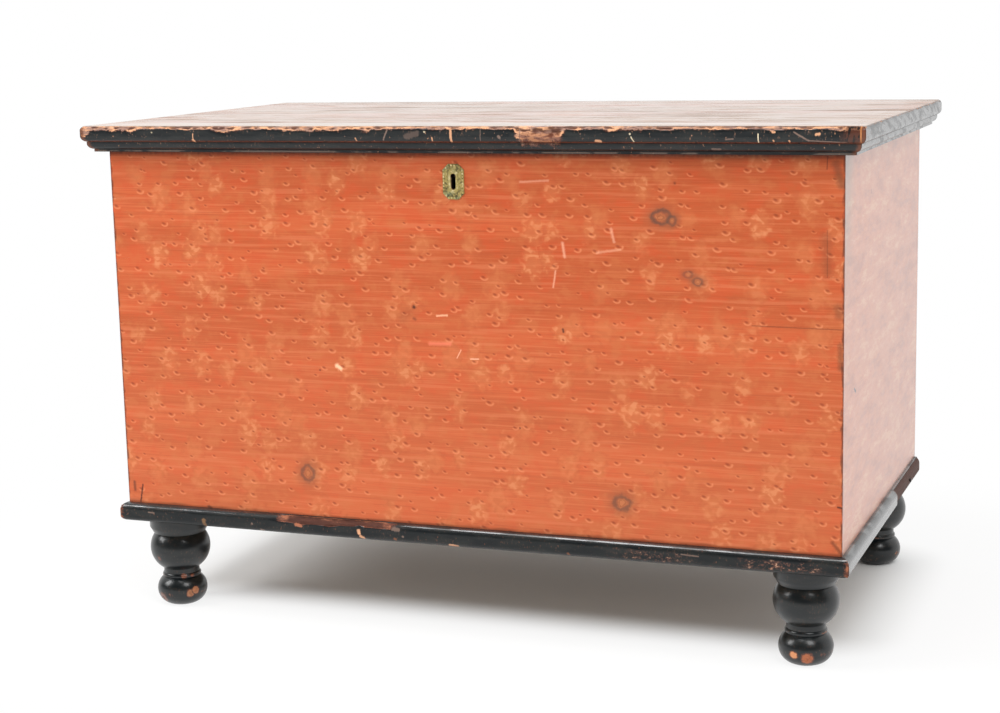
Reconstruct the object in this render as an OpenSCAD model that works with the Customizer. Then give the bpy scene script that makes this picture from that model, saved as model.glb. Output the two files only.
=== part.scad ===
// A pine blanket chest with dovetailed corners, on four turned feet.
// Its lid is hinged at the back, a small open till hangs inside at the left,
// and a chest lock sits behind a brass escutcheon at the front.
// The front faces -Y, the chest stands on Z = 0, and the origin is the centre of its
// outline. The lid sets that outline, so the case lies a little behind the origin.

/* [Case] */
// Width of the dovetailed case
case_w = 1000; // [760:5:1240]
// Depth of the case, from its front face to its back face
case_d = 560; // [440:5:680]
// Height of the four walls
case_h = 504; // [400:2:620]
// Thickness of the front, back and end boards
wall_t = 22; // [20:0.5:28]
// Number of dovetail tails at each corner
tail_count = 6; // [4:1:9]
// Width of a pin at its outer, narrow end
pin_narrow = 15; // [8:1:24]
// Extra width of a pin at its inner end, on each side
pin_flare = 4; // [2:0.5:7]

/* [Bottom] */
// Thickness of the three bottom planks
bottom_t = 22; // [16:0.5:28]
// Height of the moulding round the base
base_mould_h = 25; // [18:0.5:36]
// How far the base moulding stands out from the case
base_mould_t = 10; // [8:0.5:16]
// Rounding of the base moulding's upper edge
base_round_top = 5; // [3:0.5:7]
// Rounding of the base moulding's lower edge
base_round_low = 7; // [3:0.5:7.5]
// How far the side pieces of the base moulding stop short of the back
base_mould_short = 2; // [0:1:20]

/* [Feet] */
// Distance from a foot's axis to the end face of the case
foot_inset_x = 50; // [50:1:90]
// How far the front pair of feet sits to the left of its even places
front_feet_shift = 6; // [0:1:6]
// Distance from a front foot's axis to the front face
foot_inset_front = 57; // [44:1:90]
// Distance from a rear foot's axis to the back face
foot_inset_back = 30; // [28:1:90]
// Radius of the lower ball
low_ball_r = 35; // [30:0.5:42]
// Radius of the round on the lower ball's outline
low_ball_round = 22.5; // [20:0.5:28]
// Height of the lower ball's widest line
low_ball_z = 21.5; // [16:0.5:22]
// Height of the small bead between the balls
bead_z = 42.5; // [40:0.5:46]
// Radius of the small bead
bead_r = 27; // [24:0.5:30]
// Radius of the round on the bead's outline
bead_round = 4; // [2.5:0.5:5]
// Radius of the neck below the upper ball
neck_r = 25; // [18:0.5:26]
// Height of the neck, where the upper ball starts
neck_z = 49; // [47:0.5:54]
// Radius of the upper ball
up_ball_r = 42; // [37:0.5:44]
// Radius of the round on the upper ball's outline
up_ball_round = 35; // [32:0.5:38]
// Height of the upper ball's widest line
up_ball_z = 82.5; // [76:0.5:86]
// Height at which the upper ball meets the pad
pad_z = 104.5; // [98:0.5:108]
// Radius of the pad under the case
pad_r = 41.5; // [38:0.5:44]
// Height of the pad, with its chamfer
pad_h = 27.5; // [18:0.5:40]
// Size of the chamfer on the pad's lower edge
pad_chamfer = 5; // [2:0.5:9]
// Height of that chamfer
pad_chamfer_h = 9; // [4:0.5:12]
// Radius of the round tenon that passes through the bottom planks
tenon_r = 16; // [10:0.5:20]
// Width of a tenon wedge at its top
wedge_top = 4; // [2:0.5:6]
// Width of a tenon wedge at its tip
wedge_tip = 1.5; // [1:0.5:2]
// Length of a tenon wedge
wedge_len = 20; // [10:1:24]

/* [Lid] */
// Thickness of the lid boards
lid_t = 23; // [18:0.5:28]
// Depth of the rear one of the two lid boards
lid_rear_w = 236; // [150:1:300]
// How far the lid reaches past the back of the case
lid_over_back = 15; // [12:0.5:24]
// Thickness of the moulding nailed round the lid
lid_mould_t = 25; // [20:0.5:32]
// Height of that moulding
lid_mould_h = 35; // [30:0.5:48]
// Height of the nosing, the moulding's upper part
nose_h = 21.5; // [20:0.5:28]
// Rounding of the lid's upper edge
nose_round_top = 6; // [3:0.5:9]
// Rounding of the nosing's lower edge
nose_round_low = 8; // [3:0.5:9]
// How far the part below the nosing steps back from it
quirk_in = 6; // [3:0.5:9]
// Height of the plain fillet below the nosing
fillet_h = 2; // [1:0.5:3]
// Radius of the quarter round below that fillet
ovolo_r = 8; // [4:0.5:8]
// Thickness of the moulding at its lower edge
lid_mould_low_t = 12; // [9:0.5:14]

/* [Till] */
// Inside width of the till
till_w = 130; // [90:5:220]
// Inside depth of the till
till_h = 104; // [70:2:160]
// Thickness of the till's boards
till_t = 10; // [8:0.5:14]
// Depth of the grooves that hold the till
dado_depth = 6; // [4:0.5:9]
// Distance from the rim down to the top of the till's side
till_drop = 2; // [1:1:10]

/* [Hinges] */
// Distance from the case's end to the middle of a hinge
hinge_inset = 170; // [150:5:250]
// Length of a hinge along its pin
hinge_len = 64; // [50:1:90]
// Width of a leaf on the wood
leaf_w = 18; // [16:0.5:19]
// Thickness of a leaf
leaf_t = 2; // [1.5:0.25:2.5]
// Distance of the pin's axis behind the case
pin_back = 4; // [4:0.25:5]
// Radius of the hinge pin
pin_r = 1.75; // [1.5:0.05:2]
// Outside radius of a knuckle
knuckle_r = 3.4; // [3.2:0.1:3.6]

/* [Lock] */
// Distance from the rim down to the middle of the keyhole
key_drop = 48.5; // [44:0.5:56]
// Sideways place of the lock from the middle of the case
lock_x = 2; // [-40:1:40]
// Width of the lock's plate
lock_plate_w = 100; // [96:1:130]
// Height of the lock's plate
lock_plate_h = 84; // [80:1:110]
// Thickness of the lock's plate and of its top strip
lock_plate_t = 2; // [1.5:0.25:2.5]
// Width of the lock's cap
lock_cap_w = 76; // [76:1:90]
// Height of the lock's cap
lock_cap_h = 66; // [66:1:74]
// Depth of the lock's cap
lock_cap_d = 11; // [10.5:0.5:12]
// Thickness of the cap's sheet
lock_cap_t = 1.5; // [1:0.25:2]
// Travel of the bolt
bolt_travel = 8; // [6:0.5:8]
// Thickness of the bolt
bolt_t = 3.5; // [3:0.25:4]
// Height of the bolt's bar
bolt_h = 9; // [8:0.5:10]
// Distance from the rim down to the middle of the bolt's bar
bolt_drop = 29; // [27:0.5:31]
// Height of the bolt's two prongs
prong_h = 4; // [3:0.25:5]
// Radius of the two rivets that guide the bolt
rivet_r = 1.5; // [1:0.1:2]
// Distance of a striker loop from the middle of the lock
loop_x = 22; // [20:0.5:24]
// Width of a striker loop across the bolt
loop_w = 7; // [6:0.25:8]
// Thickness of a striker loop
loop_t = 3; // [2:0.25:4]
// How far a striker loop hangs below the lid
loop_h = 18; // [17:0.5:20]
// Length of the striker plate
striker_l = 78; // [72:1:96]
// Width of the striker plate
striker_w = 12; // [10:0.5:13]

/* [Escutcheon and keyhole] */
// Width of the escutcheon
esc_w = 29; // [24:0.5:36]
// Height of the escutcheon
esc_h = 45; // [38:0.5:54]
// Thickness of its plate
esc_t = 1; // [0.8:0.1:1.6]
// Width of the flat at the escutcheon's top and bottom
esc_flat = 13.6; // [10:0.2:18]
// Height of the slanted corners of the escutcheon
esc_corner = 7.5; // [5:0.5:10]
// Distance between the beads along its border
esc_bead_step = 3.9; // [3.4:0.1:6]
// Radius of a bead
esc_bead_r = 1.4; // [1:0.1:1.7]
// Width of the raised band round the keyhole
esc_band = 2.4; // [1.5:0.1:3]
// Height of the keyhole
keyhole_h = 20.6; // [18:0.2:24]
// Radius of the keyhole's round upper end
keyhole_r = 3.8; // [3.4:0.1:4.2]
// Width of the keyhole's lower part
keyhole_w = 6.8; // [5:0.1:7.2]
// Radius of the post that the hollow key fits over
post_r = 1.5; // [1.2:0.1:1.8]

/* [Nails and screws] */
// Width of a cut nail
nail_w = 3.2; // [2:0.2:4]
// Thickness of a cut nail
nail_t = 2.4; // [2:0.2:3]
// Width of a cut nail's head
nail_head_w = 5.5; // [4.5:0.5:7]
// Height of a cut nail's head
nail_head_h = 1.5; // [1:0.25:2]
// Length of the nails in the base moulding
base_nail_l = 30; // [24:1:36]
// Length of the nails through the bottom planks
bottom_nail_l = 48; // [36:1:60]
// Length of the nails in the lid moulding
lid_nail_l = 46; // [36:1:56]
// Radius of a wood screw's head
screw_head_r = 3.6; // [3:0.1:4]
// Radius of a wood screw's shank
screw_r = 1.7; // [1.4:0.1:2]
// Length of the hinge screws
hinge_screw_l = 18; // [12:1:19]
// Length of the lock and striker screws
lock_screw_l = 12; // [8:1:16]

/* [Clearances] */
// Gap between the lid and the rim it rests on
lid_gap = 0.3; // [0.2:0.05:0.5]
// Gap between the front moulding of the lid and the case
lid_clear_front = 0.8; // [0.5:0.1:3]
// Gap between the side mouldings of the lid and the case
lid_clear_end = 3.5; // [1:0.1:5]
// Gap in the wooden joints
joint_gap = 0.1; // [0.05:0.05:0.2]
// Gap round nails, screws, tenons and rivets
snug_gap = 0.05; // [0.03:0.01:0.08]
// Gap between the pin and the knuckles, and between moving lock pieces
run_gap = 0.05; // [0.03:0.01:0.08]
// Gap between pieces that pass each other
pass_gap = 0.3; // [0.2:0.05:0.5]

/* [Hidden] */
$fn = 48;

graining = [0.84, 0.42, 0.26];
dark_paint = [0.15, 0.17, 0.17];
pine = [0.80, 0.62, 0.42];
iron = [0.36, 0.34, 0.33];
brass = [0.68, 0.60, 0.34];

lid_over_front = lid_clear_front + lid_mould_t;
lid_over_end = lid_clear_end + lid_mould_t;

x_end = case_w / 2;
x_inner = x_end - wall_t;
y_front = (lid_over_front - lid_over_back) / 2 - case_d / 2;
y_back = y_front + case_d;
y_front_inner = y_front + wall_t;
y_back_inner = y_back - wall_t;

foot_h = pad_z + pad_h;
z_under = foot_h;
z_floor = z_under + bottom_t;
z_rim = z_floor + case_h;
z_lid = z_rim + lid_gap;
z_top = z_lid + lid_t;
over = 1;

tail_pitch = case_h / tail_count;
plank_d = case_d / 3;
tenon_h = bottom_t;

till_x = -x_inner + till_w;
z_till_floor = z_rim - till_h;

hinge_x = x_end - hinge_inset;
pin_y = y_back + pin_back;
pin_z = (z_rim + z_lid) / 2;
knuckle_l = (hinge_len - 2 * pass_gap) / 3;
knuckle_room = 0.8;
hinge_screw_pitch = hinge_len / 3;

z_key = z_rim - key_drop;
z_post = z_key + keyhole_h / 2 - keyhole_r;
z_cap_top = z_rim - lock_plate_t;
z_cap_low = z_cap_top - lock_cap_h;
y_plate = y_front_inner - lock_plate_t;
y_cap = y_plate - lock_cap_d;
y_bolt = (y_plate + y_cap + lock_cap_t) / 2;
cap_inner_x = lock_cap_w / 2 - lock_cap_t;
z_bolt = z_rim - bolt_drop;
z_bolt_low = z_bolt - bolt_h / 2;
z_bolt_top = z_bolt + bolt_h / 2;
rivet_x = 18;
arm_w = 4.5;
arm_gap = loop_t / 2 + bolt_travel + pass_gap;
prong_tip = loop_t / 2 + 2 * pass_gap;
z_loop_low = z_lid - loop_h;
loop_wall = 1.3;
z_prong = z_loop_low + loop_wall + pass_gap + prong_h / 2;
spring_t = 0.8;
spring_round = 18;
lock_screw_inset = 6;
striker_screw_inset = 5;
y_striker = y_bolt;

// A box given by its lowest and highest corners.
module span_box(low, high) {
    translate(low) cube(high - low);
}

// A shape in the XZ plane given a thickness from y0 to y1.
module wall_prism(y0, y1) {
    translate([0, y1, 0]) rotate([90, 0, 0]) linear_extrude(y1 - y0) children();
}

// Stands a section on a run along X. The section is drawn as distance out and height.
module run_along_x(length) {
    rotate([90, 0, 90]) linear_extrude(length, center = true) children();
}

// The pins of the dovetail joints at one end, drawn in the XZ plane.
module pin_outlines(grow) {
    inner = pin_narrow / 2 + pin_flare + grow;
    outer = pin_narrow / 2 + grow;
    slope = (inner - outer) / wall_t;
    tip = outer - slope * over;
    for (i = [0 : tail_count])
        translate([0, z_floor + i * tail_pitch])
            polygon([[x_inner, -inner], [x_end + over, -tip], [x_end + over, tip], [x_inner, inner]]);
}

// The front or the back board before its fittings are cut in.
module tail_board(y0) {
    difference() {
        span_box([-x_end, y0, z_floor], [x_end, y0 + wall_t, z_rim]);
        for (side = [0, 1]) mirror([side, 0, 0])
            wall_prism(y0 - over, y0 + wall_t + over) pin_outlines(joint_gap);
    }
}

// The right end board. The left one is its mirror image with the groove for the till.
module pin_board() {
    intersection() {
        span_box([x_inner, y_front, z_floor], [x_end, y_back, z_rim]);
        union() {
            span_box([x_inner - over, y_front_inner, z_floor - over],
                [x_end + over, y_back_inner, z_rim + over]);
            wall_prism(y_front, y_back) pin_outlines(0);
        }
    }
}

// Grooves for the till's side and bottom, cut into the front, back and left boards.
module till_grooves() {
    y0 = y_front_inner - dado_depth;
    y1 = y_back_inner + dado_depth;
    span_box([till_x - joint_gap, y0, z_till_floor - till_t - joint_gap],
        [till_x + till_t + joint_gap, y1, z_rim + over]);
    span_box([-x_inner - dado_depth, y0, z_till_floor - till_t - joint_gap],
        [till_x, y1, z_till_floor + joint_gap]);
}

// A keyhole through y0 to y1: a round upper end over a narrower slot.
module keyhole(y0, y1) {
    translate([lock_x, 0, 0]) wall_prism(y0, y1) {
        translate([0, z_post]) circle(keyhole_r);
        translate([-keyhole_w / 2, z_key - keyhole_h / 2 + keyhole_w / 2])
            square([keyhole_w, keyhole_h - keyhole_r - keyhole_w / 2]);
        translate([0, z_key - keyhole_h / 2 + keyhole_w / 2]) circle(keyhole_w / 2);
    }
}

// Room in the front board for the lock.
module lock_mortise() {
    half = lock_plate_w / 2 + snug_gap;
    cap_half = lock_cap_w / 2 + snug_gap;
    span_box([lock_x - half, y_plate, z_rim - lock_plate_h - snug_gap],
        [lock_x + half, y_front_inner + over, z_rim + over]);
    span_box([lock_x - half, y_cap - snug_gap, z_cap_top],
        [lock_x + half, y_plate + over, z_rim + over]);
    span_box([lock_x - cap_half, y_cap - snug_gap, z_cap_low - snug_gap],
        [lock_x + cap_half, y_plate + over, z_cap_top + over]);
}

module front_board() {
    color(graining) difference() {
        tail_board(y_front);
        till_grooves();
        lock_mortise();
        keyhole(y_front - over, y_cap + over);
        lock_screw_places() wood_screw(lock_screw_l, snug_gap);
        escutcheon_pin_places() brad(snug_gap);
        base_front_nail_places() cut_nail(base_nail_l, snug_gap);
        bottom_nail_places() cut_nail(bottom_nail_l, snug_gap);
    }
}

module back_board() {
    color(graining) difference() {
        tail_board(y_back_inner);
        till_grooves();
        hinge_places() leaf_recess(z_rim - leaf_t, z_rim + over);
        hinge_case_screw_places() wood_screw(hinge_screw_l, snug_gap);
        bottom_nail_places() cut_nail(bottom_nail_l, snug_gap);
    }
}

module left_end_board() {
    color(graining) difference() {
        mirror([1, 0, 0]) pin_board();
        till_grooves();
        bottom_nail_places() cut_nail(bottom_nail_l, snug_gap);
    }
}

module right_end_board() {
    color(graining) difference() {
        pin_board();
        bottom_nail_places() cut_nail(bottom_nail_l, snug_gap);
    }
}

// One of the three bottom planks, which run across the chest's width.
module bottom_plank(index) {
    y0 = y_front + index * plank_d;
    color(pine) difference() {
        span_box([-x_end, y0, z_under], [x_end, y0 + plank_d, z_floor]);
        foot_places() translate([0, 0, z_under - over])
            cylinder(r = tenon_r + snug_gap, h = tenon_h + 2 * over);
        base_front_nail_places() cut_nail(base_nail_l, snug_gap);
        base_side_nail_places() cut_nail(base_nail_l, snug_gap);
        bottom_nail_places() cut_nail(bottom_nail_l, snug_gap);
    }
}

// Section of the base moulding: distance out from the case, and height.
module base_section() {
    square([base_mould_t - base_round_low, base_mould_h]);
    translate([0, base_round_low])
        square([base_mould_t, base_mould_h - base_round_low - base_round_top]);
    square([base_mould_t - base_round_top, base_mould_h]);
    translate([base_mould_t - base_round_top, base_mould_h - base_round_top])
        circle(base_round_top);
    intersection() {
        translate([base_mould_t - base_round_low, base_round_low]) circle(base_round_low);
        square([base_mould_t, base_mould_h]);
    }
}

// Plan of a front strip between its two mitres, for a strip of thickness t round a width of 2 x.
module front_plan(x, y, t, gap) {
    polygon([[-x + gap, y], [x - gap, y], [x + t - gap, y - t], [-x - t + gap, y - t]]);
}

// Plan of the right-hand side strip, from its mitre to its square rear end.
module side_plan(x, y, t, y1) {
    polygon([[x, y], [x + t, y - t], [x + t, y1], [x, y1]]);
}

module base_moulding_front() {
    length = case_w + 2 * base_mould_t;
    color(dark_paint) difference() {
        intersection() {
            translate([0, y_front, z_under]) rotate([0, 0, 180]) run_along_x(length) base_section();
            translate([0, 0, z_under - over]) linear_extrude(base_mould_h + 2 * over)
                front_plan(x_end, y_front, base_mould_t, joint_gap);
        }
        base_front_nail_places() cut_nail(base_nail_l, snug_gap);
    }
}

module base_moulding_side() {
    length = case_d + base_mould_t;
    difference() {
        intersection() {
            translate([x_end, y_back - length / 2, z_under]) rotate([0, 0, 90])
                mirror([0, 1, 0]) run_along_x(length) base_section();
            translate([0, 0, z_under - over]) linear_extrude(base_mould_h + 2 * over)
                side_plan(x_end, y_front, base_mould_t, y_back - base_mould_short);
        }
        base_side_nail_places() cut_nail(base_nail_l, snug_gap);
    }
}

module base_moulding_left() {
    color(dark_paint) mirror([1, 0, 0]) base_moulding_side();
}

module base_moulding_right() {
    color(dark_paint) base_moulding_side();
}

// A cut nail with its head's top at the origin, pointing down.
module cut_nail(length, gap) {
    half = [nail_w / 2 + gap, nail_t / 2 + gap];
    head = nail_head_w / 2 + gap;
    span_box([-half[0], -half[1], -length - gap], [half[0], half[1], 0]);
    span_box([-head, -half[1] - nail_head_h / 2, -nail_head_h], [head, half[1] + nail_head_h / 2, 0]);
}

// A wood screw with its head's top at the origin, pointing down.
module wood_screw(length, gap) {
    head_h = screw_head_r - screw_r;
    translate([0, 0, -head_h]) cylinder(r1 = screw_r + gap, r2 = screw_head_r + gap, h = head_h);
    translate([0, 0, -length - gap]) cylinder(r = screw_r + gap, h = length - head_h + gap);
}

// A screw as it is fitted, with the slot in its head.
module slotted_screw(length) {
    slot_w = 0.9;
    slot_depth = 0.7;
    difference() {
        wood_screw(length, 0);
        span_box([-screw_head_r - over, -slot_w / 2, -slot_depth], [screw_head_r + over, slot_w / 2, over]);
    }
}

base_front_nails = 6;
base_side_nails = 3;
base_nail_z = z_under + bottom_t / 2;

module base_front_nail_places() {
    for (i = [0 : base_front_nails - 1])
        translate([-x_end + (i + 0.5) * case_w / base_front_nails, y_front - base_mould_t, base_nail_z])
            rotate([90, 0, 0]) children();
}

module base_side_nail_places() {
    for (side = [0, 1]) mirror([side, 0, 0])
        for (i = [0 : base_side_nails - 1])
            translate([x_end + base_mould_t, y_front + (i + 0.5) * case_d / base_side_nails, base_nail_z])
                rotate([0, 90, 0]) rotate([0, 0, 90]) children();
}

module base_moulding_nails() {
    color(iron) {
        base_front_nail_places() cut_nail(base_nail_l, 0);
        base_side_nail_places() cut_nail(base_nail_l, 0);
    }
}

bottom_long_nails = 5;
bottom_end_nails = 4;

module bottom_nail_places() {
    for (i = [0 : bottom_long_nails - 1])
        for (y = [y_front + wall_t / 2, y_back - wall_t / 2])
            translate([-x_end + (i + 0.5) * case_w / bottom_long_nails, y, z_under])
                rotate([180, 0, 0]) children();
    for (x = [-x_end + wall_t / 2, x_end - wall_t / 2])
        for (i = [0 : bottom_end_nails - 1])
            translate([x, y_front + (i + 0.5) * case_d / bottom_end_nails, z_under])
                rotate([180, 0, 90]) children();
}

module bottom_nails() {
    color(iron) bottom_nail_places() cut_nail(bottom_nail_l, 0);
}

// Axis of a foot: side is -1 for the left and 1 for the right.
function front_foot(side) = [side * (x_end - foot_inset_x) - front_feet_shift, y_front + foot_inset_front];
function rear_foot(side) = [side * (x_end - foot_inset_x), y_back - foot_inset_back];

module foot_places() {
    for (side = [-1, 1]) {
        translate(front_foot(side)) children();
        translate(rear_foot(side)) children();
    }
}

// Half outline of a turned foot, from the axis outwards, with the tenon on top.
module foot_outline() {
    intersection() {
        union() {
            translate([low_ball_r - low_ball_round, low_ball_z]) circle(low_ball_round, $fn = 96);
            square([low_ball_r - low_ball_round, bead_z]);
            translate([bead_r - bead_round, bead_z]) circle(bead_round);
            translate([0, low_ball_z]) square([bead_r - bead_round, neck_z - low_ball_z]);
            translate([0, bead_z]) square([neck_r, neck_z - bead_z]);
            intersection() {
                translate([up_ball_r - up_ball_round, up_ball_z]) circle(up_ball_round, $fn = 96);
                translate([0, neck_z]) square([up_ball_r, pad_z - neck_z]);
            }
            translate([0, neck_z]) square([neck_r, pad_z - neck_z]);
            polygon([[0, pad_z], [pad_r - pad_chamfer, pad_z], [pad_r, pad_z + pad_chamfer_h],
                [pad_r, foot_h], [0, foot_h]]);
        }
        square([2 * pad_r, foot_h]);
    }
    square([tenon_r, foot_h + tenon_h]);
}

// A tenon wedge seen from the front, on the tenon's axis.
module wedge_outline(grow) {
    z_tip = foot_h + tenon_h - wedge_len;
    polygon([[-wedge_tip / 2 - grow, z_tip - grow], [wedge_tip / 2 + grow, z_tip - grow],
        [wedge_top / 2 + grow, foot_h + tenon_h], [-wedge_top / 2 - grow, foot_h + tenon_h]]);
}

module turned_foot(place) {
    color(dark_paint) translate(place) difference() {
        rotate_extrude($fn = 96) foot_outline();
        wall_prism(-tenon_r - over, tenon_r + over) wedge_outline(snug_gap);
    }
}

module foot_front_left() {
    turned_foot(front_foot(-1));
}

module foot_front_right() {
    turned_foot(front_foot(1));
}

module foot_rear_left() {
    turned_foot(rear_foot(-1));
}

module foot_rear_right() {
    turned_foot(rear_foot(1));
}

module foot_wedges() {
    color(pine) foot_places() intersection() {
        wall_prism(-tenon_r, tenon_r) wedge_outline(0);
        cylinder(r = tenon_r, h = foot_h + tenon_h);
    }
}

module till_side() {
    color(pine) span_box([till_x, y_front_inner - dado_depth + joint_gap, z_till_floor - till_t],
        [till_x + till_t, y_back_inner + dado_depth - joint_gap, z_rim - till_drop]);
}

module till_bottom() {
    color(pine) span_box(
        [-x_inner - dado_depth + joint_gap, y_front_inner - dado_depth + joint_gap, z_till_floor - till_t],
        [till_x, y_back_inner + dado_depth - joint_gap, z_till_floor]);
}

// The lid's boards before their fittings are cut in.
module lid_board(y0, y1) {
    half = x_end + lid_clear_end;
    span_box([-half, y0, z_lid], [half, y1, z_top]);
}

lid_y0 = y_front - lid_clear_front;
lid_y1 = y_back + lid_over_back;
lid_joint_y = lid_y1 - lid_rear_w;

module lid_front_board() {
    color(graining) difference() {
        lid_board(lid_y0, lid_joint_y);
        striker_recess();
        striker_screw_places() wood_screw(lock_screw_l, snug_gap);
        lid_nail_places() cut_nail(lid_nail_l, snug_gap);
    }
}

module lid_rear_board() {
    color(graining) difference() {
        lid_board(lid_joint_y, lid_y1);
        hinge_places() leaf_recess(z_lid - over, z_lid + leaf_t);
        hinge_places() knuckle_notch();
        hinge_lid_screw_places() wood_screw(hinge_screw_l, snug_gap);
        lid_nail_places() cut_nail(lid_nail_l, snug_gap);
    }
}

// Section of the lid moulding: distance out from the lid board, and height below its top.
module lid_section() {
    nose_in = lid_mould_t - max(nose_round_top, nose_round_low);
    low_t = lid_mould_low_t;
    lip = 1;
    step_t = lid_mould_t - quirk_in;
    ovolo_top = -nose_h - fillet_h;
    translate([0, -nose_h]) square([nose_in, nose_h]);
    translate([0, nose_round_low - nose_h])
        square([lid_mould_t, nose_h - nose_round_low - nose_round_top]);
    translate([0, -nose_round_top]) square([lid_mould_t - nose_round_top, nose_round_top]);
    translate([0, -nose_h]) square([lid_mould_t - nose_round_low, nose_round_low]);
    translate([lid_mould_t - nose_round_top, -nose_round_top]) circle(nose_round_top);
    translate([lid_mould_t - nose_round_low, nose_round_low - nose_h]) circle(nose_round_low);
    translate([0, ovolo_top]) square([step_t, fillet_h]);
    translate([0, -lid_mould_h]) square([low_t - lip, lid_mould_h - nose_h]);
    translate([0, ovolo_top - ovolo_r]) square([step_t - ovolo_r, ovolo_r]);
    intersection() {
        translate([step_t - ovolo_r, ovolo_top]) circle(ovolo_r);
        translate([0, ovolo_top - ovolo_r]) square([step_t, ovolo_r]);
    }
    translate([0, -lid_mould_h]) square([low_t, lid_mould_h + ovolo_top - ovolo_r]);
}

module lid_moulding_front() {
    x = x_end + lid_clear_end;
    color(dark_paint) difference() {
        intersection() {
            translate([0, lid_y0, z_top]) rotate([0, 0, 180])
                run_along_x(2 * (x + lid_mould_t)) lid_section();
            translate([0, 0, z_top - lid_mould_h - over]) linear_extrude(lid_mould_h + 2 * over)
                front_plan(x, lid_y0, lid_mould_t, joint_gap);
        }
        lid_nail_places() cut_nail(lid_nail_l, snug_gap);
    }
}

module lid_moulding_side() {
    x = x_end + lid_clear_end;
    length = lid_y1 - lid_y0 + lid_mould_t;
    difference() {
        intersection() {
            translate([x, lid_y1 - length / 2, z_top]) rotate([0, 0, 90])
                mirror([0, 1, 0]) run_along_x(length) lid_section();
            translate([0, 0, z_top - lid_mould_h - over]) linear_extrude(lid_mould_h + 2 * over)
                side_plan(x, lid_y0, lid_mould_t, lid_y1);
        }
        lid_nail_places() cut_nail(lid_nail_l, snug_gap);
    }
}

module lid_moulding_left() {
    color(dark_paint) mirror([1, 0, 0]) lid_moulding_side();
}

module lid_moulding_right() {
    color(dark_paint) lid_moulding_side();
}

lid_front_nails = 6;
lid_side_nails = 4;

module lid_nail_places() {
    z = z_lid + lid_t / 2;
    x = x_end + lid_over_end;
    y = y_front - lid_over_front;
    for (i = [0 : lid_front_nails - 1])
        translate([-x_end + (i + 0.5) * case_w / lid_front_nails, y, z])
            rotate([90, 0, 0]) children();
    for (side = [0, 1]) mirror([side, 0, 0])
        for (i = [0 : lid_side_nails - 1])
            translate([x, lid_y0 + (i + 0.5) * (lid_y1 - lid_y0) / lid_side_nails, z])
                rotate([0, 90, 0]) rotate([0, 0, 90]) children();
}

module lid_moulding_nails() {
    color(iron) lid_nail_places() cut_nail(lid_nail_l, 0);
}

module hinge_places() {
    for (x = [-hinge_x, hinge_x]) translate([x, 0, 0]) children();
}

// Room for a leaf in the rim or in the lid, between two heights.
module leaf_recess(z0, z1) {
    span_box([-hinge_len / 2 - snug_gap, y_back - leaf_w - snug_gap, z0],
        [hinge_len / 2 + snug_gap, y_back + over, z1]);
}

// Room for the knuckles in the underside of the lid.
module knuckle_notch() {
    room = knuckle_r + knuckle_room;
    span_box([-hinge_len / 2 - pass_gap, pin_y - room, z_lid - over],
        [hinge_len / 2 + pass_gap, pin_y + room, pin_z + room]);
}

// One knuckle of a hinge round the pin's axis, from x0 over a length.
module knuckle(x0, length, r) {
    translate([x0, pin_y, pin_z]) rotate([0, 90, 0]) cylinder(r = r, h = length);
}

// The case's leaf holds the two outer knuckles.
module case_leaf(x) {
    x0 = -hinge_len / 2;
    x1 = hinge_len / 2;
    color(iron) difference() {
        translate([x, 0, 0]) {
            difference() {
                span_box([x0, y_back - leaf_w, z_rim - leaf_t], [x1, pin_y, z_rim]);
                span_box([x0 + knuckle_l, pin_y - knuckle_r - pass_gap, z_rim - leaf_t - over],
                    [x1 - knuckle_l, pin_y + over, z_rim + over]);
            }
            knuckle(x0, knuckle_l, knuckle_r);
            knuckle(x1 - knuckle_l, knuckle_l, knuckle_r);
        }
        translate([x, 0, 0]) knuckle(x0 - over, hinge_len + 2 * over, pin_r + run_gap);
        hinge_case_screw_places() wood_screw(hinge_screw_l, snug_gap);
    }
}

// The lid's leaf holds the middle knuckle.
module lid_leaf(x) {
    x0 = -hinge_len / 2;
    x1 = hinge_len / 2;
    m0 = x0 + knuckle_l + pass_gap;
    m1 = x1 - knuckle_l - pass_gap;
    color(iron) difference() {
        translate([x, 0, 0]) {
            span_box([x0, y_back - leaf_w, z_lid], [x1, pin_y - knuckle_r - pass_gap, z_lid + leaf_t]);
            span_box([m0, y_back - leaf_w, z_lid], [m1, pin_y, z_lid + leaf_t]);
            knuckle(m0, m1 - m0, knuckle_r);
        }
        translate([x, 0, 0]) knuckle(x0 - over, hinge_len + 2 * over, pin_r + run_gap);
        hinge_lid_screw_places() wood_screw(hinge_screw_l, snug_gap);
    }
}

module hinge_pin(x) {
    color(iron) translate([x, 0, 0]) knuckle(-hinge_len / 2, hinge_len, pin_r);
}

module left_hinge_case_leaf() {
    case_leaf(-hinge_x);
}

module left_hinge_lid_leaf() {
    lid_leaf(-hinge_x);
}

module left_hinge_pin() {
    hinge_pin(-hinge_x);
}

module right_hinge_case_leaf() {
    case_leaf(hinge_x);
}

module right_hinge_lid_leaf() {
    lid_leaf(hinge_x);
}

module right_hinge_pin() {
    hinge_pin(hinge_x);
}

module hinge_screw_columns() {
    for (x = [-hinge_x, hinge_x])
        for (i = [-1 : 1])
            translate([x + i * hinge_screw_pitch, y_back - leaf_w / 2, 0]) children();
}

module hinge_case_screw_places() {
    hinge_screw_columns() translate([0, 0, z_rim]) children();
}

module hinge_lid_screw_places() {
    hinge_screw_columns() translate([0, 0, z_lid]) rotate([180, 0, 0]) children();
}

module hinge_case_screws() {
    color(iron) hinge_case_screw_places() slotted_screw(hinge_screw_l);
}

module hinge_lid_screws() {
    color(iron) hinge_lid_screw_places() slotted_screw(hinge_screw_l);
}

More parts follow.
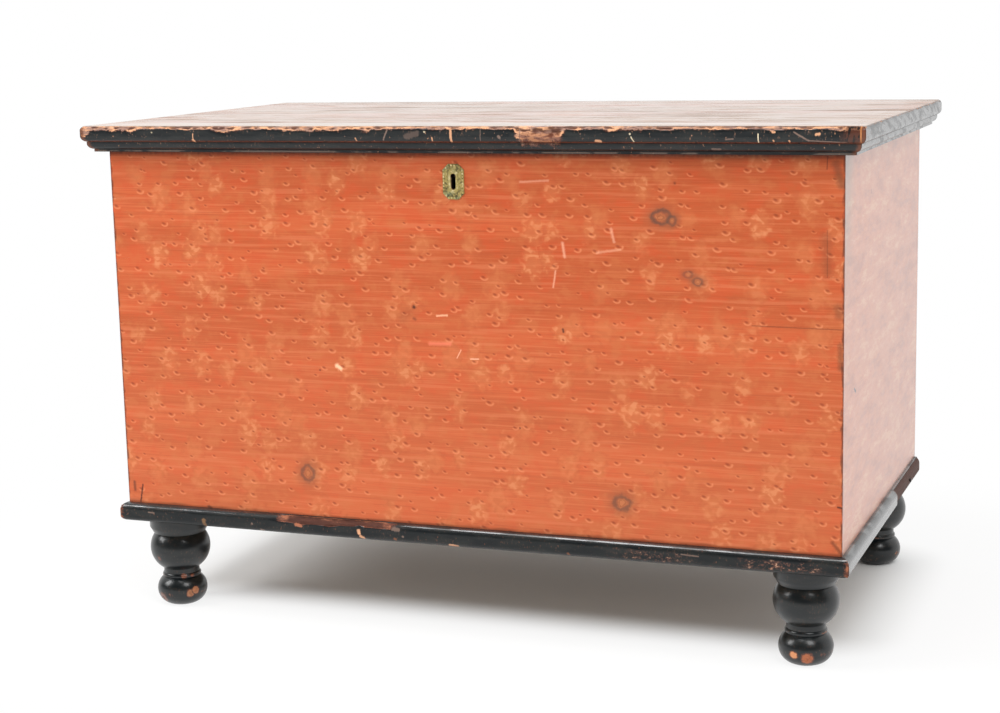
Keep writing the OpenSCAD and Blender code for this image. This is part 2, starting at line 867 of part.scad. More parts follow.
module rivet_places() {
    for (x = [-rivet_x, rivet_x])
        translate([lock_x + x, y_front_inner, z_bolt]) rotate([90, 0, 0]) children();
}

// Screws through the corners of the lock's plate, from inside the chest.
module lock_screw_places() {
    for (x = [-1, 1])
        for (z = [z_rim - lock_plate_h + lock_screw_inset, z_rim - 3 * lock_screw_inset])
            translate([lock_x + x * (lock_plate_w / 2 - lock_screw_inset), y_front_inner, z])
                rotate([-90, 0, 0]) children();
}

module lock_plate() {
    half = lock_plate_w / 2;
    slot = loop_t / 2 + 2 * pass_gap;
    color(iron) difference() {
        union() {
            span_box([lock_x - half, y_plate, z_rim - lock_plate_h], [lock_x + half, y_front_inner, z_rim]);
            span_box([lock_x - half, y_cap, z_cap_top], [lock_x + half, y_front_inner, z_rim]);
        }
        for (x = [-loop_x, loop_x])
            span_box([lock_x + x - slot, y_cap + lock_cap_t, z_cap_top - over],
                [lock_x + x + slot, y_plate, z_rim + over]);
        rivet_places() translate([0, 0, -over])
            cylinder(r = rivet_r + snug_gap, h = lock_plate_t + 2 * over);
        translate([lock_x, y_plate - over, z_post]) rotate([-90, 0, 0])
            cylinder(r = post_r + snug_gap, h = lock_plate_t + 2 * over);
        lock_screw_places() wood_screw(lock_screw_l, snug_gap);
    }
}

// A tray over the bolt, open at its top and towards the plate.
module lock_cap() {
    half = lock_cap_w / 2;
    color(iron) difference() {
        span_box([lock_x - half, y_cap, z_cap_low], [lock_x + half, y_plate, z_cap_top]);
        span_box([lock_x - cap_inner_x, y_cap + lock_cap_t, z_cap_low + lock_cap_t],
            [lock_x + cap_inner_x, y_plate + over, z_cap_top + over]);
        keyhole(y_cap - over, y_cap + lock_cap_t + over);
        rivet_places() cylinder(r = rivet_r + snug_gap, h = lock_plate_t + lock_cap_d + over);
    }
}

// The bolt's bar, its two slotted guides, the notch that the key turns in and its prongs.
module lock_bolt() {
    y0 = y_bolt - bolt_t / 2;
    y1 = y_bolt + bolt_t / 2;
    left = lock_x - cap_inner_x + pass_gap;
    right = lock_x + cap_inner_x - bolt_travel - pass_gap;
    guide = rivet_r + run_gap;
    notch_w = 10;
    notch_h = 3.5;
    color(iron) difference() {
        union() {
            span_box([left, y0, z_bolt_low], [right, y1, z_bolt_top]);
            for (x = [-loop_x, loop_x]) {
                arm = lock_x + x - arm_gap;
                span_box([arm - arm_w, y0, z_bolt_low], [arm, y1, z_prong + prong_h / 2]);
                span_box([arm - arm_w, y0, z_prong - prong_h / 2],
                    [lock_x + x - prong_tip, y1, z_prong + prong_h / 2]);
            }
        }
        for (x = [-rivet_x, rivet_x]) wall_prism(y0 - over, y1 + over) {
            translate([lock_x + x, z_bolt]) circle(guide);
            translate([lock_x + x - bolt_travel, z_bolt]) circle(guide);
            translate([lock_x + x - bolt_travel, z_bolt - guide]) square([bolt_travel, 2 * guide]);
        }
        span_box([lock_x - notch_w / 2 - bolt_travel / 2, y0 - over, z_bolt_low - over],
            [lock_x + notch_w / 2 - bolt_travel / 2, y1 + over, z_bolt_low + notch_h]);
    }
}

// A bent leaf spring from the cap's side wall to the underside of the bolt.
module lock_spring() {
    outer = spring_round + spring_t / 2;
    inner = spring_round - spring_t / 2;
    color(iron) translate([lock_x - cap_inner_x + outer, 0, z_bolt_low - run_gap - outer])
        wall_prism(y_bolt - bolt_t / 2, y_bolt + bolt_t / 2) difference() {
            intersection() {
                circle(outer, $fn = 96);
                translate([-outer, 0]) square(outer);
            }
            circle(inner, $fn = 96);
        }
}

module lock_rivets() {
    color(iron) rivet_places() cylinder(r = rivet_r, h = lock_plate_t + lock_cap_d);
}

module key_post() {
    color(iron) translate([lock_x, y_front + wall_t / 4, z_post]) rotate([-90, 0, 0])
        cylinder(r = post_r, h = wall_t * 3 / 4);
}

module lock_screws() {
    color(iron) lock_screw_places() slotted_screw(lock_screw_l);
}

module striker_recess() {
    span_box([lock_x - striker_l / 2 - snug_gap, y_striker - striker_w / 2 - snug_gap, z_lid - over],
        [lock_x + striker_l / 2 + snug_gap, y_striker + striker_w / 2 + snug_gap, z_lid + lock_plate_t]);
}

module striker_screw_places() {
    for (x = [-1, 1])
        translate([lock_x + x * (striker_l / 2 - striker_screw_inset), y_striker, z_lid])
            rotate([180, 0, 0]) children();
}

// A plate let into the lid's underside, with the two loops that the bolt passes through.
module striker_plate() {
    hole_y = bolt_t / 2 + pass_gap;
    hole_z = prong_h / 2 + pass_gap;
    color(iron) difference() {
        union() {
            span_box([lock_x - striker_l / 2, y_striker - striker_w / 2, z_lid],
                [lock_x + striker_l / 2, y_striker + striker_w / 2, z_lid + lock_plate_t]);
            for (x = [-loop_x, loop_x])
                span_box([lock_x + x - loop_t / 2, y_bolt - loop_w / 2, z_loop_low],
                    [lock_x + x + loop_t / 2, y_bolt + loop_w / 2, z_lid + lock_plate_t]);
        }
        span_box([lock_x - striker_l, y_bolt - hole_y, z_prong - hole_z],
            [lock_x + striker_l, y_bolt + hole_y, z_prong + hole_z]);
        striker_screw_places() wood_screw(lock_screw_l, snug_gap);
    }
}

module striker_screws() {
    color(iron) striker_screw_places() slotted_screw(lock_screw_l);
}

// Corners of the eight-sided escutcheon, drawn in by a margin.
function esc_corners(margin) = let (
        x1 = esc_w / 2 - margin, x0 = esc_flat / 2 - margin * 0.4,
        z1 = esc_h / 2 - margin, z0 = esc_h / 2 - esc_corner - margin * 0.4)
    [[x0, z1], [x1, z0], [x1, -z0], [x0, -z1], [-x0, -z1], [-x1, -z0], [-x1, z0], [-x0, z1]];

// Beads set evenly along one side of the border.
module bead_row(a, b) {
    count = max(1, round(norm(b - a) / esc_bead_step));
    for (i = [0 : count - 1]) let (p = a + (b - a) * i / count) translate([p[0], 0, p[1]]) children();
}

module escutcheon() {
    border = esc_corners(esc_bead_r + 0.3);
    band_h = 0.6;
    color(brass) difference() {
        translate([lock_x, 0, z_key]) {
            wall_prism(y_front - esc_t, y_front) polygon(esc_corners(0));
            wall_prism(y_front - esc_t - band_h, y_front)
                polygon(esc_corners(esc_w / 2 - keyhole_r - esc_band));
            for (i = [0 : len(border) - 1])
                bead_row(border[i], border[(i + 1) % len(border)])
                    translate([0, y_front - esc_t, 0]) sphere(esc_bead_r);
        }
        keyhole(y_front - 4 * esc_t, y_front + over);
        escutcheon_pin_places() brad(snug_gap);
        span_box([-x_end, y_front, z_key - esc_h], [x_end, y_front + 4 * esc_bead_r, z_key + esc_h]);
    }
}

// A small brass pin with its head's top at the origin, pointing down.
module brad(gap) {
    brad_r = 0.7;
    brad_head_r = 1.2;
    brad_head_h = 0.5;
    brad_l = 7;
    translate([0, 0, -brad_l]) cylinder(r = brad_r + gap, h = brad_l);
    translate([0, 0, -brad_head_h]) cylinder(r = brad_head_r + gap, h = brad_head_h);
}

module escutcheon_pin_places() {
    for (z = [-1, 1])
        translate([lock_x, y_front - esc_t, z_key + z * (esc_h / 2 + keyhole_h / 2) / 2])
            rotate([90, 0, 0]) children();
}

module escutcheon_pins() {
    color(brass) escutcheon_pin_places() brad(0);
}

front_board();
back_board();
left_end_board();
right_end_board();
bottom_plank(0);  // bottom_front_plank
bottom_plank(1);  // bottom_middle_plank
bottom_plank(2);  // bottom_rear_plank
base_moulding_front();
base_moulding_left();
base_moulding_right();
base_moulding_nails();
bottom_nails();
foot_front_left();
foot_front_right();
foot_rear_left();
foot_rear_right();
foot_wedges();
till_side();
till_bottom();
lid_front_board();
lid_rear_board();
lid_moulding_front();
lid_moulding_left();
lid_moulding_right();
lid_moulding_nails();
left_hinge_case_leaf();
left_hinge_lid_leaf();
left_hinge_pin();
right_hinge_case_leaf();
right_hinge_lid_leaf();
right_hinge_pin();
hinge_case_screws();
hinge_lid_screws();
lock_plate();
lock_cap();
lock_bolt();
lock_spring();
lock_rivets();
key_post();
lock_screws();
striker_plate();
striker_screws();
escutcheon();
escutcheon_pins();
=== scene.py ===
"""The looks of a grain-painted pine blanket chest.

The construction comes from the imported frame. This script gives every surface its finish,
models the worn and decorated pieces, and sets the stage, the lights and the camera.
Patterns are written in millimetres on the chest's own coordinates.
"""

from math import cos, hypot, radians, sin

import bpy
from mathutils import Matrix, Vector
from mathutils.noise import noise as cloud_at


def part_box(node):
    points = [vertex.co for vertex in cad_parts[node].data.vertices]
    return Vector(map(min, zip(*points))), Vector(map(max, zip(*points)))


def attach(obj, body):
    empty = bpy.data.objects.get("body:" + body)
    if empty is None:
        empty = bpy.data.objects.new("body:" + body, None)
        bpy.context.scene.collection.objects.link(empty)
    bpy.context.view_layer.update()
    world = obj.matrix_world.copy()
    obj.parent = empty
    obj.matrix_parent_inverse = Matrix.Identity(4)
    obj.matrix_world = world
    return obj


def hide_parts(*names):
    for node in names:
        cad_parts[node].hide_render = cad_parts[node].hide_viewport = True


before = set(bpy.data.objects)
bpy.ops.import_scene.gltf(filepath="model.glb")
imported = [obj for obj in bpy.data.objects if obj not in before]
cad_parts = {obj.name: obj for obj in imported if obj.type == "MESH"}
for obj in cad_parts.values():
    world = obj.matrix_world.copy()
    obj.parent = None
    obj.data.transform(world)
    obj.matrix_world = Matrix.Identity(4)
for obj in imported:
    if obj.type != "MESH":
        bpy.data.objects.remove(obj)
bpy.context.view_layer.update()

MM = 1000.0


def box_mm(node):
    """Lowest and highest corner of a CAD node, in millimetres."""
    low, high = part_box(node)
    return low * MM, high * MM


FRONT_LOW, FRONT_HIGH = box_mm("front_board")
NOSE_LOW, NOSE_HIGH = box_mm("lid_moulding_front")
BASE_LOW, BASE_HIGH = box_mm("base_moulding_front")

X_END = FRONT_HIGH.x
Y_FRONT = FRONT_LOW.y
Y_BACK = box_mm("back_board")[1].y
Y_LID_BACK = box_mm("lid_rear_board")[1].y
Z_FLOOR = FRONT_LOW.z
Z_TOP = box_mm("lid_front_board")[1].z
# Height of the nosing's face, the upper part of the lid's moulding
NOSE_FACE = 20.6
NOSE_FOOT = Z_TOP - NOSE_FACE
LID_MOULDING_LOW = NOSE_LOW.z
# Thickness of the escutcheon's plate, and the middle of its keyhole
ESCUTCHEON_PLATE = 1.0
BRASS_FACE = Y_FRONT - ESCUTCHEON_PLATE
KEYHOLE_X = 2.0
KEYHOLE_Z = 609.5
# How deep under an outer face a board's surface still counts as painted
PAINT_SKIN = 1.0


def srgb(red, green, blue):
    """A colour given as 0 to 255 display values, as the linear colour that a shader takes."""
    def linear(value):
        share = value / 255
        return share / 12.92 if share <= 0.04045 else ((share + 0.055) / 1.055) ** 2.4
    return (linear(red), linear(green), linear(blue), 1.0)


class Value:
    """A number that varies over a surface. Arithmetic on it adds Math nodes."""

    def __init__(self, owner, socket):
        self.owner = owner
        self.socket = socket

    def _math(self, operation, *terms):
        return self.owner.node("ShaderNodeMath", {"operation": operation}, dict(enumerate(terms)))

    def __add__(self, other):
        return self._math("ADD", self, other)

    def __radd__(self, other):
        return self._math("ADD", other, self)

    def __sub__(self, other):
        return self._math("SUBTRACT", self, other)

    def __rsub__(self, other):
        return self._math("SUBTRACT", other, self)

    def __mul__(self, other):
        return self._math("MULTIPLY", self, other)

    def __rmul__(self, other):
        return self._math("MULTIPLY", other, self)

    def __truediv__(self, other):
        return self._math("DIVIDE", self, other)

    def __pow__(self, other):
        return self._math("POWER", self, other)

    def __abs__(self):
        return self._math("ABSOLUTE", self)

    def max(self, other):
        return self._math("MAXIMUM", self, other)

    def min(self, other):
        return self._math("MINIMUM", self, other)

    def ramp(self, low, high):
        """0 at low and 1 at high, smoothly between. High may be the smaller one."""
        settings = {"interpolation_type": "SMOOTHSTEP", "clamp": True}
        values = {0: self, 1: low, 2: high, 3: 0.0, 4: 1.0}
        return self.owner.node("ShaderNodeMapRange", settings, values)


class Nodes:
    """A node tree whose nodes are all made by one method."""

    def __init__(self, tree):
        self.tree = tree

    def node(self, kind, settings=None, values=None, out=0):
        """Adds a node, sets it up, fills its sockets and returns one of its outputs."""
        made = self.tree.nodes.new(kind)
        for name, value in (settings or {}).items():
            setattr(made, name, value)
        for name, value in (values or {}).items():
            self.fill(made.inputs[name], value)
        return Value(self, made.outputs[out])

    def fill(self, socket, value):
        if isinstance(value, Value):
            self.tree.links.new(value.socket, socket)
        else:
            socket.default_value = value

    def sibling(self, value, out):
        """Another output of the node that a value comes from."""
        return Value(self, value.socket.node.outputs[out])

    def mix(self, first, second, share):
        """The first colour, changed to the second by a share."""
        return self.node("ShaderNodeMix", {"data_type": "RGBA"}, {0: share, 6: first, 7: second}, out=2)

    def blend(self, first, second, share):
        """The first number, changed to the second by a share."""
        return self.node("ShaderNodeMix", {"data_type": "FLOAT"}, {0: share, 2: first, 3: second})

    def rays(self):
        """Two values: 1 for what the camera sees itself, and 1 for what gloss or glass shows."""
        ray = self.node("ShaderNodeLightPath", out="Is Camera Ray")
        return ray, self.sibling(ray, "Is Glossy Ray").max(self.sibling(ray, "Is Transmission Ray"))


class Finish(Nodes):
    """A material, with its patterns in millimetres."""

    def __init__(self, name, **constants):
        self.material = bpy.data.materials.new(name)
        self.material.use_nodes = True
        super().__init__(self.material.node_tree)
        self.shader = self.tree.nodes["Principled BSDF"]
        for socket, value in constants.items():
            self.shader.inputs[socket.replace("_", " ")].default_value = value

    def place(self):
        """The point on the surface as three values in millimetres."""
        point = self.node("ShaderNodeTexCoord", out="Object")
        point = self.node("ShaderNodeVectorMath", {"operation": "SCALE"}, {0: point, "Scale": MM})
        split = self.node("ShaderNodeSeparateXYZ", values={0: point})
        return split, self.sibling(split, 1), self.sibling(split, 2)

    def facing(self):
        """The surface's outward direction as three values."""
        normal = self.node("ShaderNodeTexCoord", out="Normal")
        split = self.node("ShaderNodeSeparateXYZ", values={0: normal})
        return split, self.sibling(split, 1), self.sibling(split, 2)

    def vector(self, x, y, z=0.0):
        return self.node("ShaderNodeCombineXYZ", values={0: x, 1: y, 2: z})

    def noise(self, x, y, z=0.0, detail=2.0, roughness=0.5, distortion=0.0):
        """Cloudy noise about 0.5. Its coordinates are already divided by the pattern's size."""
        return self.node("ShaderNodeTexNoise", values={
            "Vector": self.vector(x, y, z), "Scale": 1.0, "Detail": detail,
            "Roughness": roughness, "Distortion": distortion})

    def cells(self, u, v, step_u, step_v, seed, randomness):
        """Loose rows of marks: each point's offset in mm from its mark, and the mark's two random
        numbers."""
        spot = self.vector(u / step_u + seed, v / step_v + 1.7 * seed)
        mark = self.node("ShaderNodeTexVoronoi", {"voronoi_dimensions": "2D", "feature": "F1"},
                         {"Vector": spot, "Scale": 1.0, "Randomness": randomness}, out="Position")
        offset = self.node("ShaderNodeVectorMath", {"operation": "SUBTRACT"}, {0: spot, 1: mark})
        split = self.node("ShaderNodeSeparateXYZ", values={0: offset})
        chance = self.node("ShaderNodeSeparateColor", values={0: self.sibling(mark, "Color")})
        return split * step_u, self.sibling(split, 1) * step_v, chance, self.sibling(chance, 1)

    def worn(self):
        """How much a reshaped piece has worn, as its mesh keeps it."""
        return self.node("ShaderNodeAttribute", {"attribute_name": "worn"}, out="Fac")

    def colour(self, value):
        self.fill(self.shader.inputs["Base Color"], value)

    def roughness(self, value):
        self.fill(self.shader.inputs["Roughness"], value)

    def metal(self, value):
        self.fill(self.shader.inputs["Metallic"], value)

    def coat(self, value):
        self.fill(self.shader.inputs["Coat Weight"], value)

    def relief(self, height):
        """Bumps given as a height in millimetres."""
        values = {"Strength": 1.0, "Distance": 1 / MM, "Height": height}
        bump = self.node("ShaderNodeBump", values=values)
        self.fill(self.shader.inputs["Normal"], bump)

    def wear(self, *names):
        """Puts the finish on CAD nodes."""
        for name in names:
            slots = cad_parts[name].data.materials
            slots.clear()
            slots.append(self.material)


def length(x, y):
    return (x * x + y * y) ** 0.5


def turned(x, y, angle):
    """Two coordinates turned by an angle in degrees."""
    c, s = cos(radians(angle)), sin(radians(angle))
    return x * c + y * s, y * c - x * s


PINE_PALE = srgb(192, 160, 120)
PINE_DARK = srgb(154, 114, 76)
PINE_LINE = srgb(136, 92, 54)
PINE_DIRT = srgb(120, 92, 62)


def pine_colour(finish, along, across, depth, seed):
    """Bare aged pine: long grain lines, a few broad bands and a little dirt."""
    bands = finish.noise(along / 420 + seed, across / 26, depth / 26, detail=2.0, distortion=0.6)
    lines = finish.noise(along / 260, across / 2.6 + seed, depth / 2.6, detail=3.0, roughness=0.65)
    dirt = finish.noise(along / 70, across / 50, depth / 50 + seed, detail=3.0)
    shade = finish.mix(PINE_PALE, PINE_DARK, bands.ramp(0.35, 0.75) * 0.6)
    shade = finish.mix(shade, PINE_LINE, lines.ramp(0.52, 0.72) * 0.45)
    return finish.mix(shade, PINE_DIRT, dirt.ramp(0.5, 0.8) * 0.35), lines


# Spacing of the bird's eyes along and up, and the tilt of their slashes in degrees
EYE_STEPS = (28.0, 20.5)
EYE_TILT = -20
EYE_CUP = srgb(212, 130, 88)
EYE_SLASH = srgb(130, 54, 28)


def bird_eyes(paint, shade, u, v, seed):
    """Short dark slashes, each lying in a pale cup that is open above."""
    du, dv, chance, other = paint.cells(u, v, *EYE_STEPS, seed, 0.98)
    size = other * 0.45 + 0.62
    lean = chance - 0.15
    a, b = turned(du / size, dv / size, EYE_TILT)
    spot = length(a / 3.8, b / 1.9).ramp(1.2, 0.2) * chance.ramp(-0.6, 0.3)
    ring = length((a - 0.9) / 5.0, (b - 0.4) / 3.7)
    cup = abs(ring - 1.0).ramp(0.5, 0.0) * (b - a * lean).ramp(0.9, -2.2)
    shade = paint.mix(shade, EYE_CUP, cup * other.ramp(-0.4, 0.6) * 0.62)
    return paint.mix(shade, EYE_SLASH, spot * 0.7)


# Spacing of the patches along and up
PATCH_STEPS = (60.0, 47.0)
PATCH_GAP = srgb(170, 80, 44)
PATCH_HAZE = srgb(196, 118, 72)
PATCH_LOBE = srgb(216, 144, 98)


def curly_patches(paint, shade, u, v, seed):
    """Dabs of tan, each of a few soft lobes with a darker rim, in loose columns."""
    du, dv, chance, other = paint.cells(u, v, *PATCH_STEPS, seed, 0.95)
    edge = paint.noise(u / 11, v / 11, seed, detail=2.0) - 0.5
    reach = length(du * 1.1, dv * 0.85) + edge * 24 - chance * 6
    lobes = paint.noise(u / 10, v / 8, seed + 3.0, detail=1.5, distortion=0.5)
    shade = paint.mix(shade, PATCH_GAP, reach.ramp(21, 10) * lobes.ramp(0.50, 0.36) * 0.4)
    shade = paint.mix(shade, PATCH_HAZE, reach.ramp(17, 2) * 0.32)
    return paint.mix(shade, PATCH_LOBE, reach.ramp(16, 4) * lobes.ramp(0.48, 0.64) * other * 0.5)


GROUND = srgb(190, 90, 49)
GROUND_DEEP = srgb(176, 82, 42)
CLOUD_RED = srgb(192, 74, 36)
CLOUD_TAN = srgb(184, 102, 58)
FINE_DARK = srgb(158, 64, 32)
BROAD_PALE = srgb(200, 112, 74)
BROAD_DARK = srgb(160, 70, 36)
FINE_PALE = srgb(198, 106, 68)


def streaked_ground(paint, u, v, depth, seed):
    """The red-orange ground, cloudy, with fine brush streaks along the board."""
    bands = paint.noise(u / 380 + seed, v / 36, depth / 36, detail=3.0)
    cloud = paint.noise(u / 26 + seed, v / 19, depth / 19, detail=4.0, roughness=0.55)
    fine = paint.noise(u / 85, v / 1.3 + seed, depth / 1.3, detail=3.0, roughness=0.6)
    broad = paint.noise(u / 150, v / 5.0 + seed, depth / 5.0, detail=3.0)
    shade = paint.mix(GROUND, GROUND_DEEP, bands.ramp(0.38, 0.62))
    shade = paint.mix(shade, CLOUD_RED, cloud.ramp(0.50, 0.66) * 0.45)
    shade = paint.mix(shade, CLOUD_TAN, cloud.ramp(0.49, 0.34) * 0.5)
    shade = paint.mix(shade, FINE_DARK, fine.ramp(0.52, 0.72) * 0.4)
    shade = paint.mix(shade, BROAD_PALE, broad.ramp(0.52, 0.66) * 0.45)
    shade = paint.mix(shade, BROAD_DARK, broad.ramp(0.44, 0.32) * 0.35)
    return paint.mix(shade, FINE_PALE, fine.ramp(0.48, 0.32) * 0.3), fine


KNOTS = (
    # along, up, half width, half height, darkness
    (274.5, 569.0, 12.0, 9.0, 0.7),
    (288.0, 564.5, 6.0, 5.5, 0.5),
    (-220.4, 215.9, 9.5, 11.0, 0.55),
    (220.2, 205.2, 11.0, 9.5, 0.55),
    (320.6, 490.1, 6.5, 5.0, 0.5),
    (308.1, 498.4, 6.0, 4.5, 0.35),
)
PALE_SCRATCH = srgb(226, 164, 132)
PALE_DAB = srgb(240, 178, 146)
BARE_CHIP = srgb(248, 190, 150)
PINK_RUB = srgb(228, 122, 92)
DARK_SPOT = srgb(46, 26, 24)
BROWN_CHIP = srgb(112, 54, 30)
GRIME = srgb(98, 62, 40)
FRONT_MARKS = (
    # from x and z, to x and z, half width, colour, strength
    (146.5, 534.3, 149.1, 516.8, 3.0, PALE_SCRATCH, 0.6),
    (136.7, 498.8, 133.4, 478.5, 2.0, PALE_SCRATCH, 0.6),
    (210.2, 553.1, 213.9, 537.0, 3.0, PALE_SCRATCH, 0.5),
    (191.7, 523.0, 221.6, 527.8, 2.6, PALE_SCRATCH, 0.4),
    (-36.9, 399.7, -9.0, 400.2, 4.5, PINK_RUB, 0.6),
    (-26.0, 436.3, -12.0, 437.6, 2.2, BARE_CHIP, 0.6),
    (0.3, 382.2, 6.1, 392.9, 1.2, PALE_DAB, 0.7),
    (19.0, 381.6, 30.0, 382.0, 1.4, PALE_DAB, 0.8),
    (91.8, 610.0, 129.0, 612.2, 2.4, PALE_DAB, 0.35),
    (-171.5, 364.8, -166.0, 361.2, 4.6, BARE_CHIP, 0.95),
    (-57.9, 446.8, -57.7, 446.6, 4.4, DARK_SPOT, 0.85),
    (-58.4, 431.7, -57.0, 431.0, 3.6, DARK_SPOT, 0.45),
    (-74.0, 432.0, -66.0, 440.0, 11.0, BROWN_CHIP, 0.22),
    (-196.4, 357.7, -196.2, 357.5, 2.2, DARK_SPOT, 0.7),
    (145.3, 425.2, 145.9, 421.5, 2.2, DARK_SPOT, 0.8),
    (84.8, 294.7, 84.9, 294.2, 1.8, DARK_SPOT, 0.7),
    (291.8, 610.7, 292.4, 610.3, 2.8, DARK_SPOT, 0.5),
    (478.8, 644.0, 478.2, 629.0, 1.2, DARK_SPOT, 0.55),
    (479.0, 556.0, 479.4, 500.0, 1.2, DARK_SPOT, 0.35),
    (388.0, 438.4, 497.0, 437.2, 1.3, BROWN_CHIP, 0.6),
    (489.0, 634.0, 496.0, 610.0, 9.0, GRIME, 0.55),
    (477.0, 548.0, 480.0, 506.0, 12.0, GRIME, 0.3),
    (492.0, 464.0, 494.0, 454.0, 8.0, GRIME, 0.4),
    (496.0, 418.0, 496.0, 390.0, 6.0, GRIME, 0.5),
    (494.0, 218.8, 500.0, 217.8, 2.0, DARK_SPOT, 0.85),
    (488.0, 174.0, 499.5, 160.0, 4.0, BROWN_CHIP, 0.7),
    (-490.4, 186.0, -490.0, 175.0, 3.6, DARK_SPOT, 0.6),
    (-477.2, 183.0, -482.0, 158.0, 2.0, DARK_SPOT, 0.85),
    (-374.5, 158.0, -371.0, 157.0, 4.0, DARK_SPOT, 0.8),
)
END_MARKS = (
    # from y and z, to y and z, half width, colour, strength
    (-206.0, 353.0, -196.0, 347.5, 2.6, DARK_SPOT, 0.9),
    (-199.0, 300.0, -198.0, 299.0, 1.8, BROWN_CHIP, 0.6),
    (-100.0, 585.0, -99.0, 588.0, 2.6, BROWN_CHIP, 0.5),
)
KNOT_STAIN = srgb(138, 80, 52)
KNOT_RING = srgb(78, 60, 52)
KNOT_INSIDE = srgb(186, 112, 70)
KNOT_HEART = srgb(140, 76, 44)


def knots(paint, shade, u, v, here):
    """Knots of the pine showing through the paint as grey rings."""
    wobble = paint.noise(u / 7, v / 7, detail=3.0) - 0.5
    for along, up, half_w, half_h, dark in KNOTS:
        ring = length((u - along) / half_w, (v - up) / half_h) + wobble
        shade = paint.mix(shade, KNOT_STAIN, ring.ramp(2.6, 0.8) * here * 0.5)
        shade = paint.mix(shade, KNOT_RING, abs(ring - 0.9).ramp(0.48, 0.0) * here * dark)
        shade = paint.mix(shade, KNOT_INSIDE, ring.ramp(0.62, 0.35) * here * 0.6)
        shade = paint.mix(shade, KNOT_HEART, abs(ring - 0.35).ramp(0.14, 0.03) * here * dark)
    return shade


def marks(paint, shade, u, v, here, strokes, full=0.45):
    """Short strokes with ragged sides: scratches, chips, dents and stains. They have their full
    strength within a share of their half width."""
    ragged = (paint.noise(u / 2.6, v / 2.6, detail=2.0) - 0.5) * 1.3 + 1.0
    for u0, v0, u1, v1, half_w, tint, strength in strokes:
        run_u, run_v = u1 - u0, v1 - v0
        span = run_u * run_u + run_v * run_v
        along = (((u - u0) * run_u + (v - v0) * run_v) / span).max(0.0).min(1.0)
        away = length(u - u0 - along * run_u, v - v0 - along * run_v) / half_w
        shade = paint.mix(shade, tint, (away * ragged).ramp(1.0, full) * here * strength)
    return shade


def corner_grime(x, y, rub):
    """Dirt and lost paint in a ragged line along the case's upright corners."""
    corner = (X_END - abs(x)).max((y - Y_FRONT).min(Y_BACK - y)).max(0.0)
    return (corner - rub * 9.0).ramp(-1.2, -4.4)


# Painted light for the lower front
FRONT_PAINTED_LIGHT = srgb(210, 122, 82)
END_WASH = srgb(206, 132, 96)
END_DARK = srgb(148, 92, 80)
END_PALE = srgb(222, 174, 130)
END_GREY = srgb(120, 124, 108)
BACK_WASH = srgb(146, 84, 56)
CORNER_DIRT = srgb(84, 46, 34)
# Painted shadow under the lid's moulding
UNDER_LID_SHADOW = srgb(70, 30, 18)
ABOVE_BASE_DARK = srgb(104, 52, 32)
# Painted shade inside the keyhole
KEYHOLE_SHADE = srgb(34, 24, 18)


